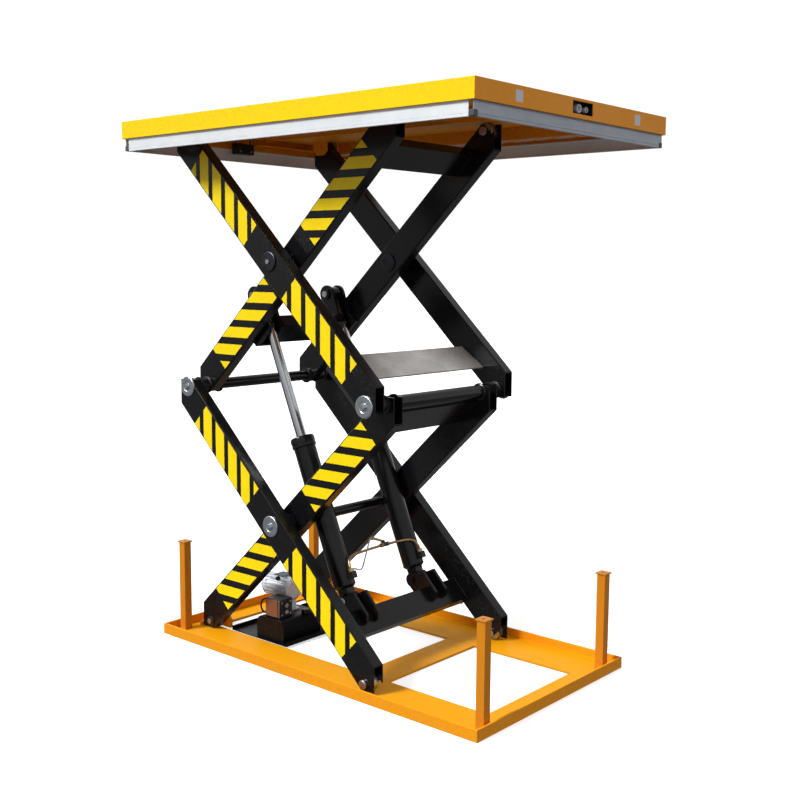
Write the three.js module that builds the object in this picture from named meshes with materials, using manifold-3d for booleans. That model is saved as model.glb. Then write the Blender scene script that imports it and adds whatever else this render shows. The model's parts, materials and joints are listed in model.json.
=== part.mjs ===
// Double scissor lift table, raised. Millimetres, +Z up.
// Origin: centre of the base frame, on the floor. +X runs along the table towards the rolling end.
// Two scissor stages stand on each other. In each stage the outer arms run from upper left to lower
// right and the inner arms from lower left to upper right, so the pivots on the left end stay above
// each other while those on the right end roll.

import * as THREE from 'three';
import * as BufferGeometryUtils from 'three/addons/utils/BufferGeometryUtils.js';
import Module from 'manifold-3d';

const wasm = await Module();
wasm.setup();

// ---------------------------------------------------------------- driving dimensions
const GAP = 0.3;                 // clearance kept between pieces that touch
const SEGMENTS = 16;             // facets of a round piece

const PLATFORM = { length: 1700, width: 1150, top: 2050, plate: 6, skirt: 65, wall: 4 };
const TRIP_BAR = { height: 50, depth: 12, inset: 10, bottom: 1939, corner: 26 };

const BASE = { length: 1610, width: 910, lip: 43, plate: 10, side: 195, end: 103 };
const CROSS_MEMBER = { left: 120, right: 255 };
const POST = { x: 764, y: 371, side: 34, wall: 3, height: 381, cap: 44, capThickness: 5 };

const STAGE_HEIGHT = 985;        // rise of one stage between its pivots, table raised
const STAGE_SPAN = 953;          // fixed pivot to rolling pivot, table raised
const FIXED_X = -687;            // the left column of pivots
const FOOT_Z = 42;               // lowest pivots, a roller's radius above the base flange
const ROLLING_X = FIXED_X + STAGE_SPAN;
const MID_Z = FOOT_Z + STAGE_HEIGHT;
const TOP_Z = FOOT_Z + 2 * STAGE_HEIGHT;
const ARM_LENGTH = Math.hypot(STAGE_HEIGHT, STAGE_SPAN);
const ARM_ANGLE = Math.atan2(STAGE_HEIGHT, STAGE_SPAN);

const ARM = { depth: 115, thickness: 50, wall: 5, skew: 27.5, reach: 46, cut: 27 };
const OUTER_ARM_Y = 377;         // middle of the outer arms
const INNER_ARM_Y = 279;         // middle of the inner arms
const OUTER_INNER_FACE = OUTER_ARM_Y - ARM.thickness / 2;
const INNER_INNER_FACE = INNER_ARM_Y - ARM.thickness / 2;
const OUTER_FACE = OUTER_ARM_Y + ARM.thickness / 2;
const INNER_OUTER_FACE = INNER_ARM_Y + ARM.thickness / 2;

const ROLLER = { radius: 31.7, width: 39, axle: 12, reach: 36 };
const PIN = { radius: 15, washer: 40, washerThickness: 6, head: 16, headThickness: 9 };
const MID_TUBE_RADIUS = 22;
const COLLAR_RADIUS = 32;

const CYLINDER_Y = 202;          // middle of each hydraulic cylinder
const BARREL = {
  radius: 42.5, gland: 47, glandLength: 42, length: 652, start: 46, floor: 24, eye: 30, bore: 14,
};
const ROD = { radius: 20, eye: 30, eyeWidth: 42, stroke: 530 };
const PORT = { z: 87, half: 13, reach: 26 };
const LUG = { inner: 177, outer: 227, plate: 12, radius: 37, pin: 13.5 };
const BARREL_PIN = { along: 330, above: -45 };   // on the lower outer arms, from the foot
const ROD_PIN = { along: 405, above: 100 };      // on the upper inner arms, from the left pivot

const FOOT_BEAM = { from: 170, to: 270, bottom: -48, top: -5 };
const CROSS_PLATE = { from: 40, to: 165, bottom: -16, top: -4 };
const STEP_PLATE = { from: 100, to: 232, front: 13, back: -13, thickness: 8 };
const ROD_BEAM = { from: 296, to: 400, bottom: -55, top: -5 };
const STRAP = { from: 280, to: 290, inner: 150, outer: 252, tie: 14 };
const TOP_BEAM = { from: 100, to: 206, bottom: -20, top: 25 };

const TRAY = { left: -616, right: -292, halfWidth: 250, thickness: 4, flange: 14 };
const TANK = { left: -480, right: -322, near: -236, far: -28, height: 88, corner: 30 };
const VALVE = { left: -440, right: -362, near: -226, far: -150, height: 76 };
const MOTOR = { left: -562, right: -404, y: -94, z: 186, radius: 43, finRadius: 47 };

const PANEL = { y: 9, halfWidth: 61, z: 2020, halfHeight: 20, depth: 30 };

// ---------------------------------------------------------------- materials
const paint = (color, roughness) => new THREE.MeshStandardMaterial({ color, roughness, metalness: 0.1 });
const ORANGE = paint(0xf0a010, 0.4);
const YELLOW = paint(0xffc400, 0.4);
const BLACK = paint(0x15161a, 0.45);
const GREY_PLATE = paint(0x2a2a2c, 0.5);
const ZINC = new THREE.MeshStandardMaterial({ color: 0xb9bec4, roughness: 0.35, metalness: 1 });
const CHROME = new THREE.MeshStandardMaterial({ color: 0xdadde0, roughness: 0.12, metalness: 1 });
const ALUMINIUM = new THREE.MeshStandardMaterial({ color: 0xc4c8cc, roughness: 0.4, metalness: 1 });
const COPPER = new THREE.MeshStandardMaterial({ color: 0x9a6a3c, roughness: 0.4, metalness: 1 });
const PLASTIC = paint(0x202226, 0.6);

// ---------------------------------------------------------------- solids
function toSolid(geometry) {
  const bare = geometry.clone();
  bare.deleteAttribute('normal');
  bare.deleteAttribute('uv');
  const merged = BufferGeometryUtils.mergeVertices(bare, 1e-4);
  return new wasm.Manifold(new wasm.Mesh({
    numProp: 3,
    vertProperties: new Float32Array(merged.attributes.position.array),
    triVerts: new Uint32Array(merged.index.array),
  }));
}

function toGeometry(solid) {
  const mesh = solid.getMesh();
  const geometry = new THREE.BufferGeometry();
  geometry.setAttribute('position', new THREE.BufferAttribute(new Float32Array(mesh.vertProperties), 3));
  geometry.setIndex(new THREE.BufferAttribute(new Uint32Array(mesh.triVerts), 1));
  return geometry;
}

const join = (first, ...rest) => rest.reduce((body, piece) => body.add(piece), first);
const cut = (first, ...rest) => rest.reduce((body, piece) => body.subtract(piece), first);

// A box given by its lowest and highest corners.
function block(x0, x1, y0, y1, z0, z1) {
  const geometry = new THREE.BoxGeometry(x1 - x0, y1 - y0, z1 - z0);
  geometry.translate((x0 + x1) / 2, (y0 + y1) / 2, (z0 + z1) / 2);
  return toSolid(geometry);
}

// A round bar along Y, centred on (x, z).
function barY(x, z, radius, y0, y1, segments = SEGMENTS) {
  const geometry = new THREE.CylinderGeometry(radius, radius, y1 - y0, segments);
  geometry.translate(x, (y0 + y1) / 2, z);
  return toSolid(geometry);
}

// A plate with an outline in X and Z, between two places along Y.
function plateY(points, y0, y1) {
  const shape = new THREE.Shape(points.map(([x, z]) => new THREE.Vector2(x, z)));
  const geometry = new THREE.ExtrudeGeometry(shape, { depth: y1 - y0, bevelEnabled: false });
  geometry.rotateX(Math.PI / 2);
  geometry.translate(0, y1, 0);
  return toSolid(geometry);
}

// A body of revolution about +Z. The profile holds [radius, z] pairs, from the axis to the axis.
function turned(profile, segments = SEGMENTS) {
  const points = profile.map(([radius, z]) => new THREE.Vector2(radius, z));
  const geometry = new THREE.LatheGeometry(points, segments);
  geometry.rotateX(Math.PI / 2);
  return toSolid(geometry);
}

// A bar turned about Y: steps of [y, radius] from its low end, each radius held up to the next step.
function steppedBarY(x, z, steps, end) {
  const ends = [...steps.slice(1).map(([y]) => y), end];
  return join(...steps.map(([y, radius], i) => barY(x, z, radius, y, ends[i])));
}

const mirrorY = (solid) => solid.mirror([0, 1, 0]);

// ---------------------------------------------------------------- scene graph helpers
const table = new THREE.Group();

function add(parent, name, solid, material) {
  const mesh = new THREE.Mesh(toGeometry(solid), material);
  mesh.name = name;
  parent.add(mesh);
}

// The piece is modelled on the near side (-Y) and mirrored to the far side.
function addPair(parent, name, solid, material) {
  add(parent, `${name}_near`, solid, material);
  add(parent, `${name}_far`, mirrorY(solid), material);
}

// ---------------------------------------------------------------- base frame
// Each rail is an angle: a flat flange on the floor and an upright lip outside.
function baseFrame() {
  const { length, width, lip, plate, side, end } = BASE;
  const halfLength = length / 2;
  const halfWidth = width / 2;
  const lipWall = 8;
  const sideRail = join(
    block(-halfLength, halfLength, -halfWidth, -halfWidth + side, 0, plate),
    block(-halfLength, halfLength, -halfWidth, -halfWidth + lipWall, 0, lip),
  );
  addPair(table, 'base_side', sideRail, ORANGE);
  const inside = halfWidth - side;
  const endRail = join(
    block(halfLength - end, halfLength, -inside, inside, 0, plate),
    block(halfLength - lipWall, halfLength, -inside, inside, 0, lip),
    block(halfLength - lipWall, halfLength, -halfWidth + lipWall, halfWidth - lipWall, plate, lip),
  );
  add(table, 'base_end_right', endRail, ORANGE);
  add(table, 'base_end_left', endRail.mirror([1, 0, 0]), ORANGE);
  const crossMember = block(CROSS_MEMBER.left, CROSS_MEMBER.right, -inside, inside, 0, plate);
  add(table, 'base_cross_member', crossMember, ORANGE);
}

// Square tubes with a cap plate, on which the lowered platform rests.
function posts() {
  const half = POST.side / 2;
  const bore = half - POST.wall;
  const halfCap = POST.cap / 2;
  const bottom = BASE.plate;
  const capBottom = POST.height - POST.capThickness;
  const vent = barY(0, 0, 6, -20, 20, 12).rotate([90, 0, 0]).translate([0, 0, POST.height]);
  const post = cut(
    join(block(-half, half, -half, half, bottom, capBottom),
      block(-halfCap, halfCap, -halfCap, halfCap, capBottom, POST.height)),
    block(-bore, bore, -bore, bore, bottom - 1, capBottom),
    vent,
  );
  for (const [sideName, y] of [['near', -POST.y], ['far', POST.y]]) {
    for (const [endName, x] of [['left', -POST.x], ['right', POST.x]]) {
      add(table, `post_${sideName}_${endName}`, post.translate([x, y, 0]), ORANGE);
    }
  }
}

// A plate on the arm's inside, with a low web behind the arm's foot, holds the lower inner arm's fixed pivot.
function baseLugs() {
  const plate = 12;
  const sideGap = 5;
  const webHeight = 16;
  const outside = -INNER_OUTER_FACE - GAP;
  const inside = -INNER_INNER_FACE + sideGap;
  const top = FOOT_Z + 30;
  const bottom = BASE.plate;
  const outline = [
    [FIXED_X - 72, bottom], [FIXED_X + 58, bottom], [FIXED_X + 58, bottom + 34], [FIXED_X + 30, top],
    [FIXED_X - 44, top], [FIXED_X - 72, top - 22],
  ];
  const lug = cut(
    join(
      plateY(outline, inside, inside + plate),
      block(FIXED_X - 72, FIXED_X - 60, outside, inside + plate, bottom, bottom + webHeight),
    ),
    barY(FIXED_X, FOOT_Z, PIN.radius + GAP, inside - 4, inside + 40),
  );
  addPair(table, 'base_lug', lug, ORANGE);
  const pin = steppedBarY(FIXED_X, FOOT_Z, [
    [outside - 12, 11], [outside - 5, 21], [outside, PIN.radius], [inside + plate + GAP, 21],
  ], inside + plate + 6);
  addPair(table, 'base_pin', pin, ZINC);
}

// ---------------------------------------------------------------- power pack
function powerPack() {
  const { left, right, halfWidth, thickness, flange } = TRAY;
  const upstand = 3;
  const tray = join(
    block(left, right, -halfWidth, halfWidth, BASE.plate - thickness, BASE.plate),
    block(left, left + upstand, -halfWidth, halfWidth, BASE.plate - thickness, BASE.plate + flange),
    block(right - upstand, right, -halfWidth, halfWidth, BASE.plate - thickness, BASE.plate + flange),
  );
  add(table, 'pump_tray', tray, BLACK);

  const shape = new THREE.Shape();
  const r = TANK.corner;
  const width = TANK.right - TANK.left;
  shape.moveTo(0, 0);
  shape.lineTo(width, 0);
  shape.lineTo(width, TANK.height - r);
  shape.absarc(width - r, TANK.height - r, r, 0, Math.PI / 2, false);
  shape.lineTo(r, TANK.height);
  shape.absarc(r, TANK.height - r, r, Math.PI / 2, Math.PI, false);
  const tank = new THREE.ExtrudeGeometry(shape, {
    depth: TANK.far - TANK.near, bevelEnabled: false, curveSegments: 6,
  });
  tank.rotateX(Math.PI / 2);
  tank.translate(TANK.left, TANK.far, BASE.plate);
  add(table, 'oil_tank', toSolid(tank), PLASTIC);

  const tankTop = BASE.plate + TANK.height;
  const solenoid = { reach: 26, from: 26, to: 52, bottom: 30, top: 56 };
  add(table, 'valve_block', join(
    block(VALVE.left, VALVE.right, VALVE.near, VALVE.far, tankTop, tankTop + VALVE.height),
    block(VALVE.left - solenoid.reach, VALVE.left, VALVE.near + solenoid.from, VALVE.near + solenoid.to,
      tankTop + solenoid.bottom, tankTop + solenoid.top),
  ), COPPER);

  // Motor body along X with cooling fins, a fan cover on its left end and a terminal box on top.
  const fins = 4;
  const finPitch = 13;
  const finWidth = 5;
  const cover = { from: MOTOR.left + 6, to: MOTOR.left + 46 };
  const terminals = { from: MOTOR.left + 62, to: MOTOR.left + 118, halfWidth: 26, top: MOTOR.radius + 10 };
  const foot = { from: TANK.left + 8, to: MOTOR.right, halfWidth: 26, bottom: tankTop - MOTOR.z };
  const pieces = [
    turnedX(MOTOR.left, MOTOR.right, MOTOR.radius),
    turnedX(cover.from, cover.to, MOTOR.finRadius),
    block(terminals.from, terminals.to, -terminals.halfWidth, terminals.halfWidth, 0, terminals.top),
    block(foot.from, foot.to, -foot.halfWidth, foot.halfWidth, foot.bottom, 0),
  ];
  for (let i = 0; i < fins; i += 1) {
    const x = cover.to + 14 + i * finPitch;
    pieces.push(turnedX(x, x + finWidth, MOTOR.finRadius));
  }
  add(table, 'pump_motor', join(...pieces).translate([0, MOTOR.y, MOTOR.z]), ALUMINIUM);
}

// A round bar along X on the axis.
function turnedX(x0, x1, radius) {
  const geometry = new THREE.CylinderGeometry(radius, radius, x1 - x0, SEGMENTS);
  geometry.rotateZ(Math.PI / 2);
  geometry.translate((x0 + x1) / 2, 0, 0);
  return toSolid(geometry);
}

// ---------------------------------------------------------------- scissor arms
// Local frame of an arm: x along the line between its end pivots, z across it on the upper side.
// An inner arm's x runs from its lower end up to the right, an outer arm's from its upper end down
// to the right. The bar is skewed a little to the pivot line, so that near the lower end it stands
// above the line and near the upper end below it. Its ends are cut level and upright when raised.
function crossing(a, b) {
  const det = a.x * b.z - a.z * b.x;
  return [(a.d * b.z - b.d * a.z) / det, (a.x * b.d - b.x * a.d) / det];
}

function armOutline() {
  const slope = -2 * ARM.skew / ARM_LENGTH;
  const half = ARM.depth / 2 * Math.hypot(1, slope);
  const lower = { x: -slope, z: 1, d: ARM.skew - half };
  const upper = { x: -slope, z: 1, d: ARM.skew + half };
  const level = { x: Math.sin(ARM_ANGLE), z: Math.cos(ARM_ANGLE), d: -ARM.cut };
  const upright = { x: Math.cos(ARM_ANGLE), z: -Math.sin(ARM_ANGLE), d: -ARM.reach };
  const foot = [crossing(upper, upright), crossing(upright, level), crossing(level, lower)];
  const head = foot.map(([x, z]) => [ARM_LENGTH - x, -z]);
  return [...foot, ...head];
}

// One arm of rectangular tube, open at both ends, with bores for its end and centre pivots. Where a
// roller works, the edge wall is slotted and the inner wall stops just past the axle.
function arm(kind, bores, rollerEnd) {
  const half = ARM.thickness / 2;
  const inside = half - ARM.wall;
  const slope = 2 * ARM.skew / ARM_LENGTH;
  const innerHalf = ARM.depth / 2 - ARM.wall;
  const cavity = [-200, ARM_LENGTH + 200].map((x) => [x, ARM.skew - slope * x]);
  const cavityOutline = [
    [cavity[0][0], cavity[0][1] - innerHalf], [cavity[1][0], cavity[1][1] - innerHalf],
    [cavity[1][0], cavity[1][1] + innerHalf], [cavity[0][0], cavity[0][1] + innerHalf],
  ];
  let solid = cut(plateY(armOutline(), -half, half), plateY(cavityOutline, -inside, inside));
  if (rollerEnd === 'foot') {
    solid = cut(solid, block(-80, 40, -inside, inside, -60, 0));
    solid = cut(solid, block(-80, -16, inside - 1, half + 1, -60, 34));
  }
  if (rollerEnd === 'head') {
    const past = ARM_LENGTH + 16;
    solid = cut(solid, block(ARM_LENGTH - 40, ARM_LENGTH + 80, -inside, inside, 0, 60));
    solid = cut(solid, block(past, ARM_LENGTH + 80, inside - 1, half + 1, -34, 60));
  }
  for (const [x, radius] of bores) {
    solid = cut(solid, barY(x, 0, radius + GAP, -half - 1, half + 1));
  }
  return kind === 'outer' ? solid.mirror([1, 0, 0]).translate([ARM_LENGTH, 0, 0]) : solid;
}

// A group whose local frame is that of an inner or outer arm, with its origin at the left pivot.
function armGroup(kind, leftZ) {
  const group = new THREE.Group();
  group.position.set(FIXED_X, 0, leftZ);
  group.rotation.y = kind === 'inner' ? -ARM_ANGLE : ARM_ANGLE;
  table.add(group);
  return group;
}

// A round cross bar with washers and bolt heads outside the outer arms and collars in the gaps.
function crossShaft(x, radius) {
  const washerOut = OUTER_FACE + GAP + PIN.washerThickness;
  const half = steppedBarY(x, 0, [
    [-washerOut - PIN.headThickness, PIN.head], [-washerOut, PIN.washer], [-OUTER_FACE - GAP, PIN.radius],
    [-OUTER_INNER_FACE + GAP, COLLAR_RADIUS], [-INNER_OUTER_FACE - GAP, PIN.radius],
    [-INNER_INNER_FACE + GAP, COLLAR_RADIUS], [-INNER_INNER_FACE + 30, radius],
  ], 0);
  return join(half, mirrorY(half));
}

// A bar across the table in an arm's local frame.
function beam(spec, halfWidth, from = spec.from, to = spec.to) {
  return block(from, to, -halfWidth + GAP, halfWidth - GAP, spec.bottom, spec.top);
}

function lowerInnerFrame() {
  const group = armGroup('inner', FOOT_Z);
  const bores = [[0, PIN.radius], [ARM_LENGTH / 2, PIN.radius], [ARM_LENGTH, PIN.radius]];
  addPair(group, 'lower_inner_arm', arm('inner', bores).translate([0, -INNER_ARM_Y, 0]), BLACK);
  const { from, to } = CROSS_PLATE;
  const plate = beam(CROSS_PLATE, INNER_INNER_FACE, ARM_LENGTH - to, ARM_LENGTH - from);
  add(group, 'lower_inner_cross_plate', plate, BLACK);
  add(group, 'lower_centre_shaft', crossShaft(ARM_LENGTH / 2, PIN.radius), ZINC);
  add(group, 'mid_right_shaft', crossShaft(ARM_LENGTH, MID_TUBE_RADIUS), ZINC);
}

function lowerOuterFrame() {
  const group = armGroup('outer', MID_Z);
  const bores = [[0, ROLLER.axle], [ARM_LENGTH / 2, PIN.radius], [ARM_LENGTH, PIN.radius]];
  addPair(group, 'lower_outer_arm', arm('outer', bores, 'foot').translate([0, -OUTER_ARM_Y, 0]), BLACK);
  add(group, 'foot_beam', hollowBeam(FOOT_BEAM, OUTER_INNER_FACE, ARM_LENGTH), BLACK);
  add(group, 'mid_left_shaft', crossShaft(0, MID_TUBE_RADIUS), ZINC);
  addPair(group, 'barrel_lug', barrelLug(), BLACK);
}

// A rectangular tube from arm to arm, measured back from the arm's right end.
function hollowBeam(spec, halfWidth, end) {
  const wall = 6;
  const outside = beam(spec, halfWidth, end - spec.to, end - spec.from);
  const bore = block(end - spec.to + wall, end - spec.from - wall, -halfWidth, halfWidth,
    spec.bottom + wall, spec.top - wall);
  return cut(outside, bore);
}

// Lug plates straddle the foot beam and hold the barrel's pin beside it.
function barrelLug() {
  const x = ARM_LENGTH - BARREL_PIN.along;
  const z = BARREL_PIN.above;
  const beamLeft = ARM_LENGTH - FOOT_BEAM.to - GAP;
  const beamTop = FOOT_BEAM.top + GAP;
  const arcPoints = arc(x, z, 30, 100, 300, 9);
  const outline = [
    [x + 8, 28], ...arcPoints, [beamLeft, z - 24], [beamLeft, beamTop], [x + 124, beamTop], [x + 124, 8],
    [x + 104, 28],
  ];
  const plates = [-LUG.outer, -LUG.inner + LUG.plate].map((y) => plateY(outline, y - LUG.plate, y));
  const pin = barY(x, z, LUG.pin, -LUG.outer - LUG.plate - 8, -LUG.inner + LUG.plate + 8);
  return join(...plates, pin);
}

// Points of an arc in X and Z, angles in degrees from +X towards +Z.
function arc(x, z, radius, from, to, count) {
  const points = [];
  for (let i = 0; i <= count; i += 1) {
    const angle = THREE.MathUtils.degToRad(from + (to - from) * i / count);
    points.push([x + radius * Math.cos(angle), z + radius * Math.sin(angle)]);
  }
  return points;
}

// A roller turning with its axle, which reaches through both walls of the arm.
function roller(x, z) {
  const half = ROLLER.width / 2;
  return steppedBarY(x, z, [
    [-ROLLER.reach, 17], [-ARM.thickness / 2 - GAP, ROLLER.axle], [-half, ROLLER.radius], [half, ROLLER.axle],
    [ARM.thickness / 2 + GAP, 17],
  ], ROLLER.reach);
}

function rollers() {
  addPair(table, 'lower_roller', roller(ROLLING_X, FOOT_Z).translate([0, -OUTER_ARM_Y, 0]), ZINC);
  addPair(table, 'upper_roller', roller(ROLLING_X, TOP_Z).translate([0, -INNER_ARM_Y, 0]), ZINC);
}

function upperOuterFrame() {
  const group = armGroup('outer', TOP_Z);
  const bores = [[0, PIN.radius], [ARM_LENGTH / 2, PIN.radius], [ARM_LENGTH, PIN.radius]];
  addPair(group, 'upper_outer_arm', arm('outer', bores).translate([0, -OUTER_ARM_Y, 0]), BLACK);
  const { from, to, front, back, thickness } = STEP_PLATE;
  const section = [
    [ARM_LENGTH - to, back], [ARM_LENGTH - from, front], [ARM_LENGTH - from, front + thickness],
    [ARM_LENGTH - to, back + thickness],
  ];
  const halfWidth = OUTER_INNER_FACE - GAP;
  add(group, 'step_plate', plateY(section, -halfWidth, halfWidth), GREY_PLATE);
}

function upperInnerFrame() {
  const group = armGroup('inner', MID_Z);
  const bores = [[0, PIN.radius], [ARM_LENGTH / 2, PIN.radius], [ARM_LENGTH, ROLLER.axle]];
  addPair(group, 'upper_inner_arm', arm('inner', bores, 'head').translate([0, -INNER_ARM_Y, 0]), BLACK);
  add(group, 'top_beam', hollowBeam(TOP_BEAM, INNER_INNER_FACE, ARM_LENGTH), BLACK);
  add(group, 'rod_beam', rodBeam(), BLACK);
  addPair(group, 'rod_lug', rodLug(), BLACK);
  addPair(group, 'upper_centre_pin', upperCentrePin(), ZINC);
}

// The beam that takes the cylinders' thrust. Open slots let the rods swing, and a strap behind each
// slot keeps the beam whole.
function rodBeam() {
  const { from, to, bottom, top } = ROD_BEAM;
  const halfSlot = (LUG.outer - LUG.inner) / 2;
  let body = beam(ROD_BEAM, INNER_INNER_FACE);
  for (const y of [-CYLINDER_Y, CYLINDER_Y]) {
    body = cut(body, block(from - 1, to + 1, y - halfSlot, y + halfSlot, bottom - 1, top + 1));
  }
  const strap = join(
    block(STRAP.from, STRAP.to, -STRAP.outer, -STRAP.inner, bottom, top),
    block(STRAP.from, from, -STRAP.outer, -STRAP.outer + STRAP.tie, bottom, top),
    block(STRAP.from, from, -STRAP.inner - STRAP.tie, -STRAP.inner, bottom, top),
  );
  return join(body, strap, mirrorY(strap));
}

// Two ear plates and a low web behind them, standing on the rod beam.
function rodLug() {
  const { along: x, above: z } = ROD_PIN;
  const foot = ROD_BEAM.top + GAP;
  const outline = [
    [STRAP.from, foot], [ROD_BEAM.to - 4, foot], ...arc(x, z, LUG.radius, -25, 170, 12),
    [x - 70, z - 45],
  ];
  const plates = [-LUG.outer, -LUG.inner + LUG.plate].map((y) => plateY(outline, y - LUG.plate, y));
  const webTop = 36;
  const web = block(STRAP.from, STRAP.to, -LUG.outer - LUG.plate, -LUG.inner + LUG.plate, foot, webTop);
  const bosses = [[-LUG.outer - LUG.plate - 8, -LUG.outer - 1], [-LUG.inner + 1, -LUG.inner + LUG.plate + 8]];
  return join(...plates, web, ...bosses.map(([y0, y1]) => barY(x, z, 22, y0, y1)));
}

function upperCentrePin() {
  const x = ARM_LENGTH / 2;
  const washerOut = OUTER_FACE + GAP + PIN.washerThickness;
  return steppedBarY(x, 0, [
    [-washerOut - 5, 12], [-washerOut, 37], [-OUTER_FACE - GAP, PIN.radius],
    [-OUTER_INNER_FACE + GAP, COLLAR_RADIUS], [-INNER_OUTER_FACE - GAP, PIN.radius],
    [-INNER_INNER_FACE + GAP, 37],
  ], -INNER_INNER_FACE + 7);
}

// ---------------------------------------------------------------- hydraulic cylinders
const FOOT_PIVOT = [ROLLING_X, FOOT_Z];
const MID_LEFT_PIVOT = [FIXED_X, MID_Z];
const along = [Math.cos(ARM_ANGLE), Math.sin(ARM_ANGLE)];
const BARREL_PIVOT = [
  FOOT_PIVOT[0] - along[0] * BARREL_PIN.along + along[1] * BARREL_PIN.above,
  FOOT_PIVOT[1] + along[1] * BARREL_PIN.along + along[0] * BARREL_PIN.above,
];
const ROD_PIVOT = [
  MID_LEFT_PIVOT[0] + along[0] * ROD_PIN.along - along[1] * ROD_PIN.above,
  MID_LEFT_PIVOT[1] + along[1] * ROD_PIN.along + along[0] * ROD_PIN.above,
];

// Local frame: z along the cylinder from the barrel's pin towards the rod's pin.
function cylinders() {
  const dx = ROD_PIVOT[0] - BARREL_PIVOT[0];
  const dz = ROD_PIVOT[1] - BARREL_PIVOT[1];
  const pinDistance = Math.hypot(dx, dz);
  const group = new THREE.Group();
  group.position.set(BARREL_PIVOT[0], 0, BARREL_PIVOT[1]);
  group.rotation.y = Math.atan2(dx, dz);
  table.add(group);

  const { radius, gland, glandLength, length, start, floor, eye, bore } = BARREL;
  const chamfer = 6;
  const eyeHalf = ROD.eyeWidth / 2;
  const near = -CYLINDER_Y - eyeHalf;
  const far = -CYLINDER_Y + eyeHalf;
  const rodBore = ROD.radius + GAP;
  const tube = turned([
    [0, start], [radius - chamfer, start], [radius, start + chamfer], [radius, length - glandLength],
    [gland, length - glandLength], [gland, length], [rodBore, length], [rodBore, start + floor],
    [0, start + floor],
  ]).translate([0, -CYLINDER_Y, 0]);
  const port = block(radius - chamfer, radius + PORT.reach, -CYLINDER_Y - PORT.half, -CYLINDER_Y + PORT.half,
    PORT.z - PORT.half, PORT.z + PORT.half);
  const neck = block(-eye + chamfer, eye - chamfer, near, far, 0, start + 2);
  const pinBore = barY(0, 0, bore, near - 1, far + 1);
  addPair(group, 'cylinder_barrel', cut(join(tube, barY(0, 0, eye, near, far), neck, port), pinBore), BLACK);

  // The rod's inner end stays clear of the barrel's floor when the table is down.
  const innerEnd = start + floor + ROD.stroke + 3;
  const outerEnd = pinDistance - ROD.eye + 8;
  const rod = join(
    turned([[0, innerEnd], [ROD.radius, innerEnd], [ROD.radius, outerEnd], [0, outerEnd]])
      .translate([0, -CYLINDER_Y, 0]),
    barY(0, pinDistance, ROD.eye, near, far),
  );
  addPair(group, 'cylinder_rod', rod, CHROME);
  add(group, 'cross_pipe', crossPipe(), COPPER);
}

// A hard pipe from one barrel's port to the other's, rising above the ports and bowed outwards.
function crossPipe() {
  const x = BARREL.radius + PORT.reach / 2;
  const bowed = x - 4;
  const low = PORT.z + PORT.half + GAP;
  const y = CYLINDER_Y;
  const points = [
    [x, -y, low], [x, -y, low + 22], [bowed, -y + 14, low + 48], [bowed, -y + 60, low + 60],
    [bowed, 0, low + 66],
    [bowed, y - 60, low + 60], [bowed, y - 14, low + 48], [x, y, low + 22], [x, y, low],
  ].map((p) => new THREE.Vector3(...p));
  const path = new THREE.CatmullRomCurve3(points, false, 'centripetal');
  const section = new THREE.Shape();
  section.absarc(0, 0, 5, 0, 2 * Math.PI, false);
  const pipe = new THREE.ExtrudeGeometry(section, { steps: 44, curveSegments: 4, extrudePath: path });
  return toSolid(pipe);
}

// ---------------------------------------------------------------- platform
function platform() {
  const { length, width, top, plate, skirt, wall } = PLATFORM;
  const halfLength = length / 2;
  const halfWidth = width / 2;
  const underside = top - plate;
  const bottom = top - skirt;
  add(table, 'deck_plate', block(-halfLength, halfLength, -halfWidth, halfWidth, underside, top), YELLOW);
  const sideSkirt = block(-halfLength, halfLength, -halfWidth, -halfWidth + wall, bottom, underside);
  addPair(table, 'skirt', sideSkirt, YELLOW);
  const inside = halfWidth - wall;
  const endSkirt = block(halfLength - wall, halfLength, -inside, inside, bottom, underside);
  const window = block(halfLength - wall - 1, halfLength + 1, PANEL.y - PANEL.halfWidth,
    PANEL.y + PANEL.halfWidth, PANEL.z - PANEL.halfHeight, PANEL.z + PANEL.halfHeight);
  add(table, 'skirt_right', cut(endSkirt, window), YELLOW);
  add(table, 'skirt_left', endSkirt.mirror([1, 0, 0]), YELLOW);
  add(table, 'control_panel', controlPanel(halfLength - wall), PLASTIC);
  addPair(table, 'deck_lug', deckLug(underside), ORANGE);
}

// A shallow box behind the window, with two sockets.
function controlPanel(face) {
  const { y, z, halfWidth, halfHeight, depth } = PANEL;
  const rim = 8;
  const back = 8;
  const outer = halfWidth + rim;
  const box = cut(
    block(face - depth, face, y - outer, y + outer, z - halfHeight - 2, z + halfHeight + 3),
    block(face - depth + back, face + 1, y - halfWidth, y + halfWidth, z - halfHeight, z + halfHeight),
  );
  const sockets = [[-4, 15], [42, 10]].map(([dy, radius]) => {
    return turnedX(face - depth + back - 1, face - 4, radius).translate([0, y + dy, z]);
  });
  return join(box, ...sockets);
}

// Two plates and the pin of the upper outer arm's fixed pivot, hanging from the deck.
function deckLug(underside) {
  const plate = 10;
  const sideGap = 4;
  const low = TOP_Z - 27;
  const shoulder = TOP_Z - 8;
  const outline = [
    [FIXED_X - 40, underside], [FIXED_X - 40, shoulder], [FIXED_X - 22, low], [FIXED_X + 22, low],
    [FIXED_X + 40, shoulder], [FIXED_X + 40, underside],
  ];
  const outside = -OUTER_FACE - sideGap;
  const inside = -OUTER_INNER_FACE + sideGap;
  return join(
    plateY(outline, outside - plate, outside),
    plateY(outline, inside, inside + plate),
    barY(FIXED_X, TOP_Z, PIN.radius, outside - plate - 6, inside + plate + 6),
  );
}

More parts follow.
